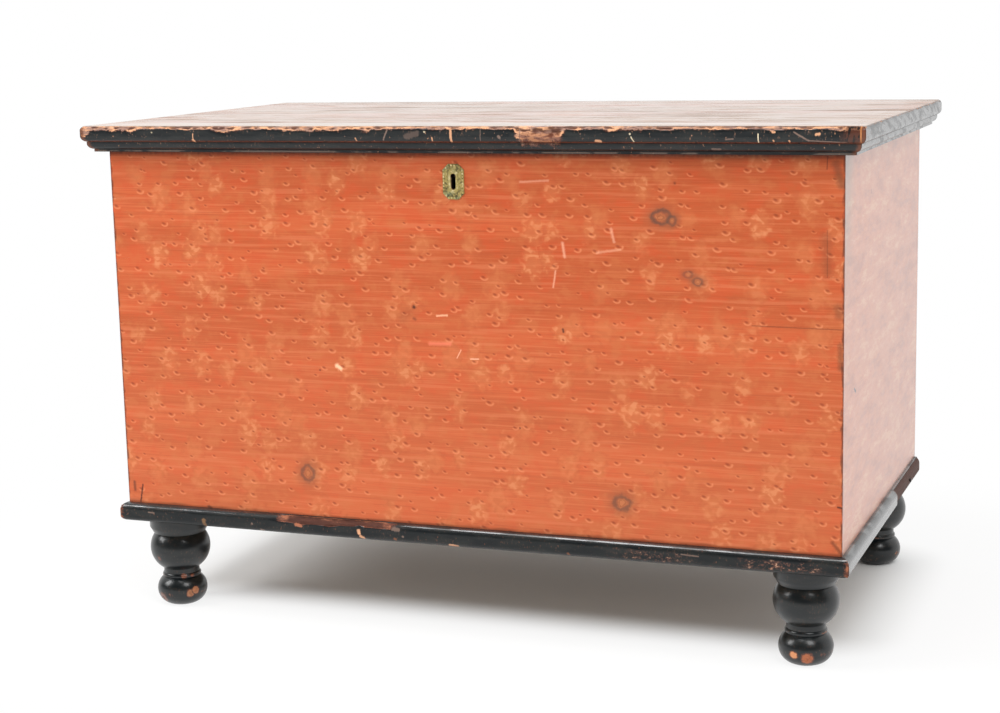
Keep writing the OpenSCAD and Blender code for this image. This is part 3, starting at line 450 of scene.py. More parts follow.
def case_paint():
    """The four boards of the case: grained paint outside, a thin wash at the back, bare pine inside."""
    paint = Finish("case_graining", Specular_IOR_Level=0.2, Coat_Roughness=0.25, Coat_IOR=1.8)
    x, y, z = paint.place()
    nx, ny, nz = paint.facing()
    at_end = abs(nx).ramp(0.5, 0.8)
    at_front = ny.ramp(-0.5, -0.8)
    at_back = ny.ramp(0.5, 0.8)
    u = paint.blend(x, y, at_end)
    depth = paint.blend(y, x, at_end)
    shade, fine = streaked_ground(paint, u, z, depth, 0.0)
    # Painted light: the front is made paler towards its bottom
    shade = paint.mix(shade, FRONT_PAINTED_LIGHT, z.ramp(560.0, 180.0) * at_front * 0.2)
    shade = curly_patches(paint, shade, u, z, 0.0)
    shade = bird_eyes(paint, shade, u, z, 0.0)
    shade = knots(paint, shade, x, z, at_front)
    shade = marks(paint, shade, x, z, at_front, FRONT_MARKS, full=0.05)
    cloud = paint.noise(u / 90 + z / 90, z / 24, depth / 60, detail=6.0, roughness=0.72)
    shade = paint.mix(shade, END_WASH, at_end * 0.8)
    shade = paint.mix(shade, END_DARK, at_end * cloud.ramp(0.48, 0.66) * 0.45)
    shade = paint.mix(shade, END_PALE, at_end * cloud.ramp(0.48, 0.34) * 0.4)
    shade = marks(paint, shade, y, z, nx.ramp(0.5, 0.8), END_MARKS)
    near = (y - Y_FRONT).ramp(75.0, 5.0) * z.ramp(430.0, 640.0) * at_end
    shade = paint.mix(shade, END_GREY, near * 0.55)
    shade = paint.mix(shade, BACK_WASH, at_back * 0.75)
    rub = paint.noise(x / 5, y / 5, z / 14, detail=3.0)
    broken = paint.noise(x / 34, y / 34, z / 8, detail=4.0)
    shade = paint.mix(shade, CORNER_DIRT, corner_grime(x, y, rub) * 0.8)
    # Painted shadow: a dark band on the front just under the lid's moulding
    under_lid_shadow = z.ramp(LID_MOULDING_LOW - 9.0, LID_MOULDING_LOW - 1.0) * at_front
    shade = paint.mix(shade, UNDER_LID_SHADOW, under_lid_shadow * (rub * 0.7 + 0.4))
    # Darker in a ragged band just above the base moulding
    foot = (z - BASE_HIGH.z + broken * 9.0).ramp(9.0, 4.5)
    shade = paint.mix(shade, ABOVE_BASE_DARK, foot * 0.6)
    wood, lines = pine_colour(paint, u, z, depth, 0.0)
    beyond_end = abs(x) - (X_END - PAINT_SKIN)
    outside = beyond_end.max((Y_FRONT + PAINT_SKIN) - y).max(y - (Y_BACK - PAINT_SKIN))
    coated = outside.ramp(-0.2, 0.2)
    # Painted shade: the bare wood inside the keyhole is darkened
    keyhole_shade = abs(z - KEYHOLE_Z).ramp(14.0, 12.0) * abs(x - KEYHOLE_X).ramp(7.0, 5.0)
    wood = paint.mix(wood, KEYHOLE_SHADE, keyhole_shade * (y - Y_FRONT).ramp(21.0, 19.0))
    paint.colour(paint.mix(wood, shade, coated))
    rough = paint.noise(u / 30, z / 12, depth / 12, detail=3.0)
    paint.roughness(paint.blend(0.75, 0.40 + rough * 0.2, coated))
    paint.relief(paint.blend(lines * 0.15, fine * 0.12, coated))
    gloss = 0.04 + at_end * (0.96 - cloud.ramp(0.48, 0.70) * 0.1)
    paint.coat(coated * gloss * (1.0 - at_back * 0.7))
    return paint


LID_MARKS = (
    # from x and y, to x and y, half width, colour, strength
    (455.0, 57.0, 503.0, 63.0, 3.6, DARK_SPOT, 0.95),
    (118.0, 54.0, 136.0, 46.0, 5.0, DARK_SPOT, 0.6),
    (258.0, 48.0, 280.0, 38.0, 5.0, DARK_SPOT, 0.5),
    (515.5, -293.0, 514.0, -237.0, 1.3, BROWN_CHIP, 0.7),
)
# Moves the patterns along, so that the lid doesn't repeat the front
LID_SEED = 13.0
LID_HAZE = srgb(152, 122, 90)
LID_STREAK = srgb(92, 62, 42)
LID_WARM = srgb(184, 122, 82)
# Painted reflection along the lid's front edge
LID_FRONT_PAINTED_SHEEN = srgb(196, 176, 156)
LID_REAR_DARK = srgb(52, 44, 42)


def lid_colour(paint, x, y, z):
    """The lid's graining, rubbed and darkened, with grey and brown streaks along it."""
    shade, fine = streaked_ground(paint, x, y, z, LID_SEED)
    shade = curly_patches(paint, shade, x, y, LID_SEED)
    shade = bird_eyes(paint, shade, x, y, LID_SEED)
    haze = paint.noise(x / 300, y / 60, z / 60, detail=4.0, roughness=0.6)
    streaks = paint.noise(x / 190 + 4.0, y / 18, z / 18, detail=5.0, roughness=0.7)
    shade = paint.mix(shade, LID_HAZE, haze.ramp(0.32, 0.62) * 0.4 + 0.45)
    shade = paint.mix(shade, LID_STREAK, streaks.ramp(0.48, 0.66) * 0.7)
    shade = paint.mix(shade, LID_WARM, streaks.ramp(0.44, 0.36) * 0.5)
    # Painted reflection: a pale band along the lid's front edge
    front = y.ramp(-222.0, -250.0)
    shade = paint.mix(shade, LID_FRONT_PAINTED_SHEEN, front * (0.5 - streaks.ramp(0.45, 0.6) * 0.4))
    shade = marks(paint, shade, x, y, 1.0, LID_MARKS)
    rear = y.ramp(Y_LID_BACK - 7.0, Y_LID_BACK - 2.0)
    shade = paint.mix(shade, LID_REAR_DARK, rear * 0.7)
    grain = paint.noise(x / 60, y / 7 + 3.0, z / 7, detail=3.0, roughness=0.7)
    rubbed = streaks.ramp(0.49, 0.62) * 0.7 + streaks.ramp(0.44, 0.36) * 0.25
    rubbed = rubbed + grain.ramp(0.5, 0.64) * 0.45
    gloss = 1.0 - (rubbed * (1.0 - front * 0.85)).max(rear * 0.6)
    return shade, gloss, fine


def lid_paint():
    """The lid's two boards: worn grained paint above, bare pine below."""
    paint = Finish("lid_graining", Coat_Roughness=0.2, Coat_IOR=2.25)
    x, y, z = paint.place()
    shade, gloss, fine = lid_colour(paint, x, y, z)
    wood, lines = pine_colour(paint, x, y, z, LID_SEED)
    outside = (z - (Z_TOP - PAINT_SKIN)).max(y - (Y_LID_BACK - PAINT_SKIN))
    coated = outside.ramp(-0.2, 0.2)
    paint.colour(paint.mix(wood, shade, coated))
    paint.roughness(paint.blend(0.75, 0.56 - gloss * 0.2, coated))
    paint.relief(paint.blend(lines * 0.15, fine * 0.15, coated))
    paint.coat(coated * gloss)
    return paint


TAN = srgb(220, 162, 122)
CREAM = srgb(232, 214, 180)
MUTED = srgb(128, 104, 92)
RED_BROWN = srgb(112, 56, 36)
OCHRE = srgb(128, 92, 56)
PALE_BROWN = srgb(176, 108, 76)
UMBER = srgb(128, 76, 44)
NOSE_MARKS = (
    # from x and z, to x and z, half width, colour, strength
    (-356.0, 671.0, -356.0, 661.0, 0.9, TAN, 0.85),
    (-356.6, 663.0, -355.4, 661.5, 2.4, TAN, 0.85),
    (10.0, 675.0, 10.4, 662.5, 2.2, TAN, 0.85),
    (-76.6, 676.0, -82.4, 663.6, 1.2, MUTED, 0.8),
    (-50.0, 668.0, -36.0, 672.0, 5.0, MUTED, 0.35),
    (-25.8, 674.2, -25.2, 673.6, 1.4, CREAM, 0.6),
    (-15.4, 666.8, -15.2, 663.0, 1.2, TAN, 0.8),
    (-121.0, 666.0, -120.0, 662.6, 1.2, TAN, 0.7),
    (50.1, 679.0, 49.6, 662.8, 0.6, MUTED, 0.7),
    (74.0, 668.4, 75.2, 667.0, 2.4, MUTED, 0.8),
    (101.9, 678.0, 101.2, 662.0, 0.8, MUTED, 0.8),
    (108.0, 667.0, 149.0, 666.0, 9.0, RED_BROWN, 0.5),
    (200.0, 663.0, 206.0, 662.8, 2.0, TAN, 0.85),
    (245.0, 668.0, 248.0, 662.5, 1.0, CREAM, 0.7),
    (243.6, 672.0, 243.8, 671.4, 1.4, CREAM, 0.7),
    (362.0, 665.0, 371.0, 666.0, 1.2, MUTED, 0.7),
    (401.2, 672.0, 401.4, 662.0, 0.9, CREAM, 0.9),
    (418.5, 674.0, 421.0, 674.0, 1.7, TAN, 0.85),
    (419.3, 664.2, 419.5, 663.9, 1.5, TAN, 0.85),
    (438.3, 663.8, 438.5, 663.2, 1.4, TAN, 0.85),
    (444.0, 674.0, 461.0, 664.0, 1.3, MUTED, 0.8),
    (461.0, 664.0, 508.0, 661.6, 0.9, MUTED, 0.8),
    (470.0, 671.2, 474.0, 672.0, 2.1, TAN, 0.85),
    (-418.0, 673.0, -417.4, 672.6, 1.2, CREAM, 0.5),
    (344.0, 653.4, 354.0, 653.0, 1.5, MUTED, 0.6),
)
BASE_MARKS = (
    # from x and z, to x and z, half width, colour, strength
    (-378.0, 142.0, -377.0, 134.0, 3.6, OCHRE, 0.75),
    (-465.0, 146.6, -456.0, 146.0, 1.3, MUTED, 0.7),
    (-303.8, 142.4, -303.4, 141.6, 1.5, MUTED, 0.8),
    (-290.6, 134.4, -287.0, 133.6, 2.0, MUTED, 0.8),
    (-237.0, 145.6, -229.0, 144.0, 2.6, PALE_BROWN, 0.8),
    (-143.9, 144.4, -143.3, 141.0, 3.0, TAN, 0.9),
    (-141.2, 136.4, -138.0, 134.8, 3.0, TAN, 0.85),
    (-94.0, 150.0, -86.0, 149.4, 3.2, MUTED, 0.7),
    (-92.0, 136.6, -90.6, 136.0, 2.4, UMBER, 0.8),
    (-80.0, 141.0, -79.4, 140.4, 1.8, MUTED, 0.7),
    (-13.0, 134.2, -3.0, 133.2, 2.6, TAN, 0.7),
    (300.0, 147.0, 322.0, 146.0, 1.2, MUTED, 0.6),
    (150.0, 136.0, 151.0, 135.0, 2.2, UMBER, 0.7),
)
SPOT_RIM = srgb(84, 44, 30)


def spots(paint, shade, x, y, z, ragged, places):
    """Round patches of lost paint, each given by its middle, its radius and the colour under it."""
    for x0, y0, z0, radius, tint in places:
        away = length(length(x - x0, y - y0), z - z0) / radius + (ragged - 0.5) * 0.9
        shade = paint.mix(shade, SPOT_RIM, away.ramp(1.15, 0.95))
        shade = paint.mix(shade, tint, away.ramp(0.95, 0.75))
    return shade


DARK_PAINT = srgb(8, 15, 18)
DARK_PAINT_WORN = srgb(28, 31, 30)
FLECK = srgb(78, 54, 42)
WOOD_GRIME = srgb(92, 52, 38)
WOOD_DARK = srgb(72, 38, 28)
UNDERCOAT = srgb(86, 46, 32)


def dark_colour(paint, x, y, z, worn, pale_wood, dull_wood):
    """Green-black paint, crackled and chipped, with wood showing where it is worn."""
    broad = paint.noise(x / 34, y / 34, z / 9, detail=3.0)
    ragged = paint.noise(x / 4.0, y / 4.0, z / 4.0, detail=4.0, roughness=0.75)
    hue = paint.noise(x / 16 + 5, y / 16, z / 5, detail=4.0, roughness=0.65)
    flecks = paint.noise(x / 2.2 + 9, y / 2.2, z / 4.4, detail=2.0, roughness=0.6)
    shade = paint.mix(DARK_PAINT, DARK_PAINT_WORN, broad.ramp(0.35, 0.7))
    shade = paint.mix(shade, FLECK, flecks.ramp(0.58, 0.66) * broad.ramp(0.44, 0.56) * 0.5)
    edge = worn + (ragged - 0.5) * 1.15
    wood = paint.mix(dull_wood, pale_wood, hue.ramp(0.44, 0.58))
    wood = paint.mix(wood, WOOD_GRIME, ragged.ramp(0.55, 0.66) * 0.7)
    wood = paint.mix(wood, WOOD_DARK, worn.ramp(0.75, 1.05) * (0.9 - hue.ramp(0.6, 0.7) * 0.4))
    shade = paint.mix(shade, UNDERCOAT, edge.ramp(0.28, 0.44) * 0.85)
    specks = flecks.ramp(0.67, 0.73) * worn.ramp(0.0, 0.03) * 0.55
    bare = edge.ramp(0.42, 0.56).max(specks)
    return paint.mix(shade, wood, bare), bare, broad, ragged


# The worn right-hand corner of the nosing: where it starts, where it is full, and its pale rim
CORNER_FROM = 508.0
CORNER_FULL = 520.0
CORNER_RIM_X = 522.5
NOSE_DULL_WOOD = srgb(150, 116, 102)
ARRIS_PALE = srgb(124, 104, 92)
CORNER_BROWN = srgb(84, 44, 28)
CORNER_BLACK = srgb(30, 22, 18)
CORNER_RIM = srgb(196, 128, 76)
SEAM_WORN = srgb(112, 62, 38)
SEAM_GAP = srgb(30, 20, 16)


def lid_moulding_paint():
    """Dark paint on the profile of the lid's mouldings, and the lid's own colour on their tops."""
    paint = Finish("lid_moulding_paint", Specular_IOR_Level=0.2, Coat_Roughness=0.2, Coat_IOR=2.2)
    x, y, z = paint.place()
    nx, ny, nz = paint.facing()
    worn = paint.worn()
    shade, bare, broad, ragged = dark_colour(paint, x, y, z, worn, TAN, NOSE_DULL_WOOD)
    at_front = ny.ramp(-0.2, -0.5)
    nose_foot = abs(z - NOSE_FOOT).ramp(1.5, 0.4) * at_front
    low_arris = abs(z - (LID_MOULDING_LOW + 1.4)).ramp(1.3, 0.4) * at_front * broad.ramp(0.45, 0.55)
    shade = paint.mix(shade, RED_BROWN, nose_foot * ragged.ramp(0.36, 0.50) * 0.9)
    shade = paint.mix(shade, ARRIS_PALE, low_arris * 0.6)
    shade = marks(paint, shade, x, z, at_front, NOSE_MARKS)
    scuffs = paint.noise(x / 5, y / 30, z / 11, detail=3.0, roughness=0.6)
    on_nose = (z - NOSE_FOOT).ramp(0.0, 1.0)
    corner = (x + scuffs * 24.0).ramp(CORNER_FROM, CORNER_FULL) * at_front * on_nose
    shade = paint.mix(shade, CORNER_BROWN, corner * 0.85)
    shade = paint.mix(shade, CORNER_BLACK, corner * scuffs.ramp(0.50, 0.56))
    shade = paint.mix(shade, CORNER_RIM, abs(x - CORNER_RIM_X).ramp(1.4, 0.5) * corner * 0.9)
    seam = abs((NOSE_HIGH.x - abs(x)) - (y - NOSE_LOW.y))
    near_seam = (seam + ragged * 8.0).ramp(12.0, 6.0) * nz.ramp(0.8, 0.6)
    shade = paint.mix(shade, SEAM_WORN, near_seam * 0.8)
    shade = paint.mix(shade, SEAM_GAP, seam.ramp(0.8, 0.3) * 0.9)
    streaks = paint.noise(y / 24 + z / 12, z / 14, x / 30, detail=5.0, roughness=0.6)
    at_end = abs(nx).ramp(0.4, 0.8)
    gloss = (0.18 + abs(nx) * 0.82) * (1.0 - bare) * (1.0 - at_end * streaks.ramp(0.46, 0.64) * 0.4)
    on_top = nz.ramp(0.75, 0.92) * (z - Z_TOP).ramp(-2.2, -0.8)
    above, lid_gloss, fine = lid_colour(paint, x, y, z)
    shade = paint.mix(shade, above, on_top * (1.0 - bare))
    gloss = paint.blend(gloss, lid_gloss, on_top)
    paint.colour(shade)
    paint.roughness(0.36 + broad * 0.16 + bare * 0.3)
    paint.relief(ragged * 0.2 - bare * 0.35)
    paint.coat(gloss)
    return paint


# Where the right side's lost face begins, and the height of the peeled stretches in front
BROKEN_FROM = 76.0
PEELED_Z = 141.5
BASE_WOOD = srgb(156, 96, 68)
BASE_DULL_WOOD = srgb(100, 58, 44)
PEEL_EDGE = srgb(96, 60, 48)
PEELED = srgb(206, 160, 130)
LOST_FACE = srgb(88, 62, 54)


def base_moulding_paint():
    """Dark paint on the base moulding. The rear of its right side is bare and brown."""
    paint = Finish("base_moulding_paint", Specular_IOR_Level=0.3, Coat_Roughness=0.14, Coat_IOR=1.9)
    x, y, z = paint.place()
    nx, ny, nz = paint.facing()
    worn = paint.worn()
    shade, bare, broad, ragged = dark_colour(paint, x, y, z, worn, BASE_WOOD, BASE_DULL_WOOD)
    at_front = ny.ramp(-0.2, -0.5)
    lost = nx.ramp(0.2, 0.6) * (y + ragged * 14.0).ramp(BROKEN_FROM - 2.0, BROKEN_FROM + 2.0)
    shade = marks(paint, shade, x, z, at_front, BASE_MARKS)
    peeled = paint.noise(x / 6, y / 6, z / 3.6, detail=4.0, roughness=0.7)
    where = abs(x - 428.0).ramp(62.0, 20.0).max(abs(x - 262.0).ramp(70.0, 10.0) * 0.6)
    where = where * at_front * abs(z - PEELED_Z).ramp(9.0, 4.0)
    shade = paint.mix(shade, PEEL_EDGE, where * peeled.ramp(0.50, 0.56) * 0.8)
    shade = paint.mix(shade, PEELED, where * peeled.ramp(0.60, 0.66) * 0.8)
    shade = paint.mix(shade, LOST_FACE, lost)
    rubbed = broad.ramp(0.42, 0.58) * 0.6
    gloss = (0.1 + abs(nx) * 0.9).max(nz.ramp(0.2, 0.5) - rubbed) * (1.0 - bare) * (1.0 - lost * 0.85)
    paint.colour(shade)
    paint.roughness(0.34 + broad * 0.16 + bare * 0.3)
    paint.relief(ragged * 0.3 - bare * 0.35)
    paint.coat(gloss)
    return paint


FOOT_SPOTS = (
    # middle and radius of a patch, and the colour in it
    (436.0, -248.5, 18.0, 6.2, srgb(214, 140, 92)),
    (452.0, -248.0, 14.5, 8.6, srgb(168, 92, 52)),
    (430.0, -243.0, 23.0, 2.0, srgb(190, 150, 120)),
    (-468.0, -252.0, 73.0, 5.0, srgb(104, 70, 58)),
    (-470.0, -245.0, 13.0, 7.8, srgb(112, 78, 66)),
    (-431.0, -240.0, 20.0, 6.4, srgb(160, 104, 70)),
    (-426.0, -234.0, 23.0, 6.0, srgb(170, 110, 74)),
    (-440.0, -240.0, 44.0, 4.4, srgb(124, 70, 46)),
    (-430.0, -231.0, 43.0, 4.0, srgb(134, 74, 48)),
)
FOOT_WOOD = srgb(196, 134, 92)
FOOT_DULL_WOOD = srgb(120, 74, 52)


def foot_paint():
    """Dark satin paint on the turned feet, knocked off in places."""
    paint = Finish("foot_paint", Specular_IOR_Level=0.5, Coat_Roughness=0.12)
    x, y, z = paint.place()
    worn = paint.worn()
    shade, bare, broad, ragged = dark_colour(paint, x, y, z, worn, FOOT_WOOD, FOOT_DULL_WOOD)
    shade = spots(paint, shade, x, y, z, ragged, FOOT_SPOTS)
    paint.colour(shade)
    paint.roughness(0.26 + broad * 0.1 + bare * 0.3)
    paint.relief(ragged * 0.1 - bare * 0.3)
    paint.coat(0.18 * (1.0 - bare))
    return paint


PINE_GRIME = srgb(104, 92, 82)


def bare_pine(name, side, grimy_below=None):
    """Unpainted aged pine with its grain along one axis, darker and greyer below a height."""
    wood = Finish(name, Roughness=0.75)
    x, y, z = wood.place()
    along, across, depth = {"x": (x, y, z), "y": (y, x, z)}[side]
    shade, lines = pine_colour(wood, along, across, depth, 5.0)
    if grimy_below:
        shade = wood.mix(shade, PINE_GRIME, z.ramp(grimy_below + 1.0, grimy_below - 1.0) * 0.75)
    wood.colour(shade)
    wood.relief(lines * 0.2)
    return wood


IRON_GREY = srgb(74, 70, 68)
IRON_RUST = srgb(98, 62, 42)
IRON_DIRT = srgb(44, 34, 30)


def old_iron(name, rust):
    """Dark iron with brown rust in patches."""
    iron = Finish(name)
    x, y, z = iron.place()
    patches = iron.noise(x / 7, y / 7, z / 7, detail=4.0, roughness=0.6)
    grit = iron.noise(x / 0.9, y / 0.9, z / 0.9, detail=2.0)
    rusty = patches.ramp(0.62 - rust * 0.3, 0.75 - rust * 0.2)
    shade = iron.mix(IRON_GREY, IRON_RUST, rusty)
    shade = iron.mix(shade, IRON_DIRT, grit.ramp(0.5, 0.75) * 0.5)
    iron.colour(shade)
    iron.metal(0.9 - rusty * 0.8)
    iron.roughness(0.42 + rusty * 0.4)
    iron.relief(grit * 0.06 + patches * 0.1)
    return iron


BRASS_OLIVE = srgb(96, 84, 38)
BRASS_YELLOW = srgb(160, 142, 80)
BRASS_WORN = srgb(214, 198, 152)
VERDIGRIS = srgb(122, 138, 104)
BRASS_PIT = srgb(48, 48, 26)


def old_brass(name):
    """Tarnished brass: worn pale where it stands proud, olive in the hollows, with some verdigris."""
    brass = Finish(name)
    x, y, z = brass.place()
    patches = brass.noise(x / 4.5, y / 4.5, z / 4.5, detail=4.0, roughness=0.65)
    green = brass.noise(x / 9 + 7, y / 9, z / 9, detail=3.0)
    proud = (BRASS_FACE - y).ramp(0.2, 1.4) * 0.22 + (BRASS_FACE - y).ramp(0.4, 0.58) * 0.2
    bright = proud + (patches - 0.5) * 2.6 + 0.3
    shade = brass.mix(BRASS_OLIVE, BRASS_YELLOW, bright.ramp(0.0, 0.42))
    shade = brass.mix(shade, BRASS_WORN, bright.ramp(0.5, 1.0))
    ends = abs(z - KEYHOLE_Z).ramp(10.0, 17.0)
    shade = brass.mix(shade, VERDIGRIS, ends * green.ramp(0.44, 0.60) * 0.5)
    shade = brass.mix(shade, BRASS_PIT, patches.ramp(0.42, 0.32) * 0.8)
    brass.colour(shade)
    brass.metal(bright.ramp(0.2, 0.8) * 0.4)
    brass.roughness(0.38 + patches * 0.35)
    brass.relief(patches * 0.35)
    return brass


case_paint().wear("front_board", "back_board", "left_end_board", "right_end_board")
lid_paint().wear("lid_front_board", "lid_rear_board")
BASE_MOULDING_PAINT = base_moulding_paint()
LID_MOULDING_PAINT = lid_moulding_paint()
FOOT_PAINT = foot_paint()
BASE_MOULDING_PAINT.wear("base_moulding_nails")
LID_MOULDING_PAINT.wear("lid_moulding_nails")
bare_pine("bottom_pine", "x", Z_FLOOR - 3.0).wear(
    "bottom_front_plank", "bottom_middle_plank", "bottom_rear_plank")
bare_pine("till_pine", "y").wear("till_side", "till_bottom", "foot_wedges")
old_iron("nail_iron", 0.8).wear("bottom_nails")
old_iron("lock_and_hinge_iron", 0.35).wear(
    "left_hinge_case_leaf", "left_hinge_lid_leaf", "left_hinge_pin",
    "right_hinge_case_leaf", "right_hinge_lid_leaf", "right_hinge_pin",
    "hinge_case_screws", "hinge_lid_screws", "lock_plate", "lock_cap", "lock_bolt",
    "lock_spring", "lock_rivets", "key_post", "lock_screws", "striker_plate", "striker_screws")
old_brass("old_brass").wear("escutcheon", "escutcheon_pins")


def only(piece):
    """Makes a piece the active one and the only one that is selected."""
    bpy.ops.object.select_all(action="DESELECT")
    piece.select_set(True)
    bpy.context.view_layer.objects.active = piece


# In metres
MERGE_WITHIN = 0.00001


def merged_copy(node, name):
    """A copy of a CAD node's mesh with its loose triangles joined, to be reshaped as a new piece."""
    piece = bpy.data.objects.new(name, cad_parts[node].data.copy())
    bpy.context.scene.collection.objects.link(piece)
    only(piece)
    bpy.ops.mesh.customdata_custom_splitnormals_clear()
    bpy.ops.object.mode_set(mode="EDIT")
    bpy.ops.mesh.select_mode(type="VERT")
    bpy.ops.mesh.select_all(action="SELECT")
    bpy.ops.mesh.remove_doubles(threshold=MERGE_WITHIN)
    bpy.ops.object.mode_set(mode="OBJECT")
    return piece


def slice_up(piece, *cuts):
    """Cuts a piece into slices so that its edges can wear. Each cut is an axis and a step in mm."""
    only(piece)
    bpy.ops.object.mode_set(mode="EDIT")
    low, high = [v * MM for v in piece.bound_box[0]], [v * MM for v in piece.bound_box[6]]
    for axis, step in cuts:
        way = Vector((0, 0, 0))
        way[axis] = 1
        count = int((high[axis] - low[axis]) / step)
        for i in range(1, count):
            at = (low[axis] + (high[axis] - low[axis]) * i / count) / MM
            bpy.ops.mesh.select_all(action="SELECT")
            bpy.ops.mesh.bisect(plane_co=way * at, plane_no=way)
    bpy.ops.object.mode_set(mode="OBJECT")


def clouds(name, size, low, high):
    """A cloud texture that is 0 below one level and 1 above another. The size is in mm."""
    texture = bpy.data.textures.new(name, "CLOUDS")
    texture.noise_scale = size / MM
    texture.noise_depth = 2
    texture.use_color_ramp = True
    for stop, level in zip(texture.color_ramp.elements, (low, high)):
        stop.position = level
    texture.color_ramp.elements[0].color = (0, 0, 0, 1)
    texture.color_ramp.elements[1].color = (1, 1, 1, 1)
    return texture


DENTS = clouds("dents", 26, 0.3, 0.9)
CHIPS = clouds("chips", 7, 0.52, 0.66)


def shares_of(places, function):
    """A function of a point in mm, limited to 0 to 1, at each place of a mesh."""
    return [max(0.0, min(1.0, function(place * MM))) for place in places]


def push(piece, *layers):
    """Moves a mesh's points. Each layer is a texture or None, a direction, a depth and shares."""
    only(piece)
    for texture, way, depth, shares in layers:
        group = piece.vertex_groups.new(name="share")
        for index, share in enumerate(shares):
            if share > 0:
                group.add([index], share, "REPLACE")
        layer = piece.modifiers.new("push", "DISPLACE")
        layer.texture = texture
        layer.texture_coords = "LOCAL"
        layer.direction = way
        layer.mid_level = 0.0
        layer.strength = depth / MM
        layer.vertex_group = group.name
        bpy.ops.object.modifier_apply(modifier=layer.name)
        piece.vertex_groups.clear()


# The furthest that a point may be brought back, and the largest angle that is shaded smooth
PULL_BACK = 2.0
SMOOTH_BELOW = 38


def keep_inside(piece, places):
    """Brings points back that lie outside the box that a piece's old points filled."""
    for axis, way in enumerate("XYZ"):
        low = min(place[axis] for place in places) * MM
        high = max(place[axis] for place in places) * MM
        now = [v.co.copy() for v in piece.data.vertices]
        under = shares_of(now, lambda p: (low - p[axis]) / PULL_BACK)
        over = shares_of(now, lambda p: (p[axis] - high) / PULL_BACK)
        push(piece, (None, way, PULL_BACK, under), (None, way, -PULL_BACK, over))


def wear_away(piece, wear, dent=0.8, chip=1.4, splits=()):
    """Rubs and chips a piece inwards where the wear function, of a point in mm, is high. Each split
    cuts it back along an axis by a depth, where its own function is high. How much a point has
    worn is kept on the mesh for the paint."""
    before = [v.co.copy() for v in piece.data.vertices]
    shares = shares_of(before, wear)
    layers = [(None, axis, depth, shares_of(before, split)) for split, axis, depth in splits]
    push(piece, (DENTS, "NORMAL", -dent, shares), (CHIPS, "NORMAL", -chip, shares), *layers)
    keep_inside(piece, before)
    worn = piece.data.attributes.new("worn", "FLOAT", "POINT")
    for vertex, old, share, item in zip(piece.data.vertices, before, shares, worn.data):
        item.value = share * 0.7 + (vertex.co - old).length * MM * 0.4
    bpy.ops.object.shade_smooth_by_angle(angle=radians(SMOOTH_BELOW))


def put(piece, finish, body, slot, *nodes):
    """Gives a finished piece its material and its body, and hides the CAD nodes that it stands for."""
    piece.data.materials.clear()
    piece.data.materials.append(finish.material)
    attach(piece, body)
    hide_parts(*nodes)


def between(value, low, high, soft):
    """1 between two limits and 0 outside, with soft ends."""
    return max(0.0, min(1.0, (value - low) / soft + 0.5, (high - value) / soft + 0.5))


NOSE_WEAR = (
    # from x, to x, how far down the front the wood shows
    (-540.0, -512.0, 18.0),
    (-520.0, -440.0, 7.5),
    (-330.0, -278.0, 8.5),
    (-228.0, -135.0, 7.0),
    (-112.0, -98.0, 10.0),
    (-24.0, 6.0, 6.0),
    (96.0, 158.0, 30.0),
    (206.0, 262.0, 7.0),
    (410.0, 424.0, 7.0),
    (480.0, 540.0, 5.0),
)
CORNER_WEAR = 14.0


def lid_moulding_wear(p):
    """Most along the front's top arris and at the corners, little at the ends."""
    below = Z_TOP - p.z
    in_front = p.y - NOSE_LOW.y
    in_side = NOSE_HIGH.x - abs(p.x)
    along = Vector((p.x / 40, p.y / 40, 3.0))
    if in_side < in_front:
        reach = 1.0 + 1.2 * cloud_at(along) + (2.5 if in_front < CORNER_WEAR else 0.0)
        out = in_side
    else:
        reach = 4.6 + 1.6 * cloud_at(along) + 1.4 * cloud_at(along * 4)
        for start, end, depth in NOSE_WEAR:
            reach = max(reach, between(p.x, start, end, 9.0) * (depth + 2.4 * cloud_at(along * 3)))
        out = in_front
    inward = 2.5 if below < 2.0 else 0.5
    top = 1.15 - hypot(max(below - 1.0, 0.0), max(out - 2.0, 0.0) * inward) / max(reach, 1.0)
    return max(top, 0.04)


def right_side_is_broken(p):
    """The rear part of the right-hand base moulding has lost its face."""
    edge = BROKEN_FROM + 5.0 * cloud_at(Vector((p.z / 5, 1.0, 1.0)))
    return between(p.y, edge, 400.0, 2.0) if p.x > X_END + 4.0 else 0.0


# Radius of the base moulding's top arris in the CAD model and as worn, how far the moulding
# stands out, and how far from a corner its other side's rounding reaches
CAD_ROUND = 5.0
WORN_ROUND = 9.5
BASE_PROUD = Y_FRONT - BASE_LOW.y
CORNER_REACH = 30.0


def arc_back(below, radius):
    """How far a rounded top arris stands back from the face, at a depth below the top."""
    rest = max(radius - below, 0.0)
    return radius - (radius * radius - rest * rest) ** 0.5


def rounded_off(p):
    """Turns the base moulding's small top rounding into a large one."""
    below = max(BASE_HIGH.z - p.z, 0.0)
    inside = min(p.y - BASE_LOW.y, BASE_HIGH.x - abs(p.x))
    more = arc_back(below, WORN_ROUND) - arc_back(below, CAD_ROUND)
    fades = (BASE_PROUD - inside) / (BASE_PROUD - CAD_ROUND)
    return more / (WORN_ROUND - CAD_ROUND) * max(0.0, min(1.0, fades))


def rounded_near(distance):
    """The same rounding, fading out along a strip. The distance from its corner is a function."""
    return lambda p: rounded_off(p) * max(0.0, 1.0 - distance(p) / CORNER_REACH)


rounded_near_left = rounded_near(lambda p: p.x - BASE_LOW.x)
rounded_near_right = rounded_near(lambda p: BASE_HIGH.x - p.x)
rounded_near_front = rounded_near(lambda p: p.y - BASE_LOW.y)

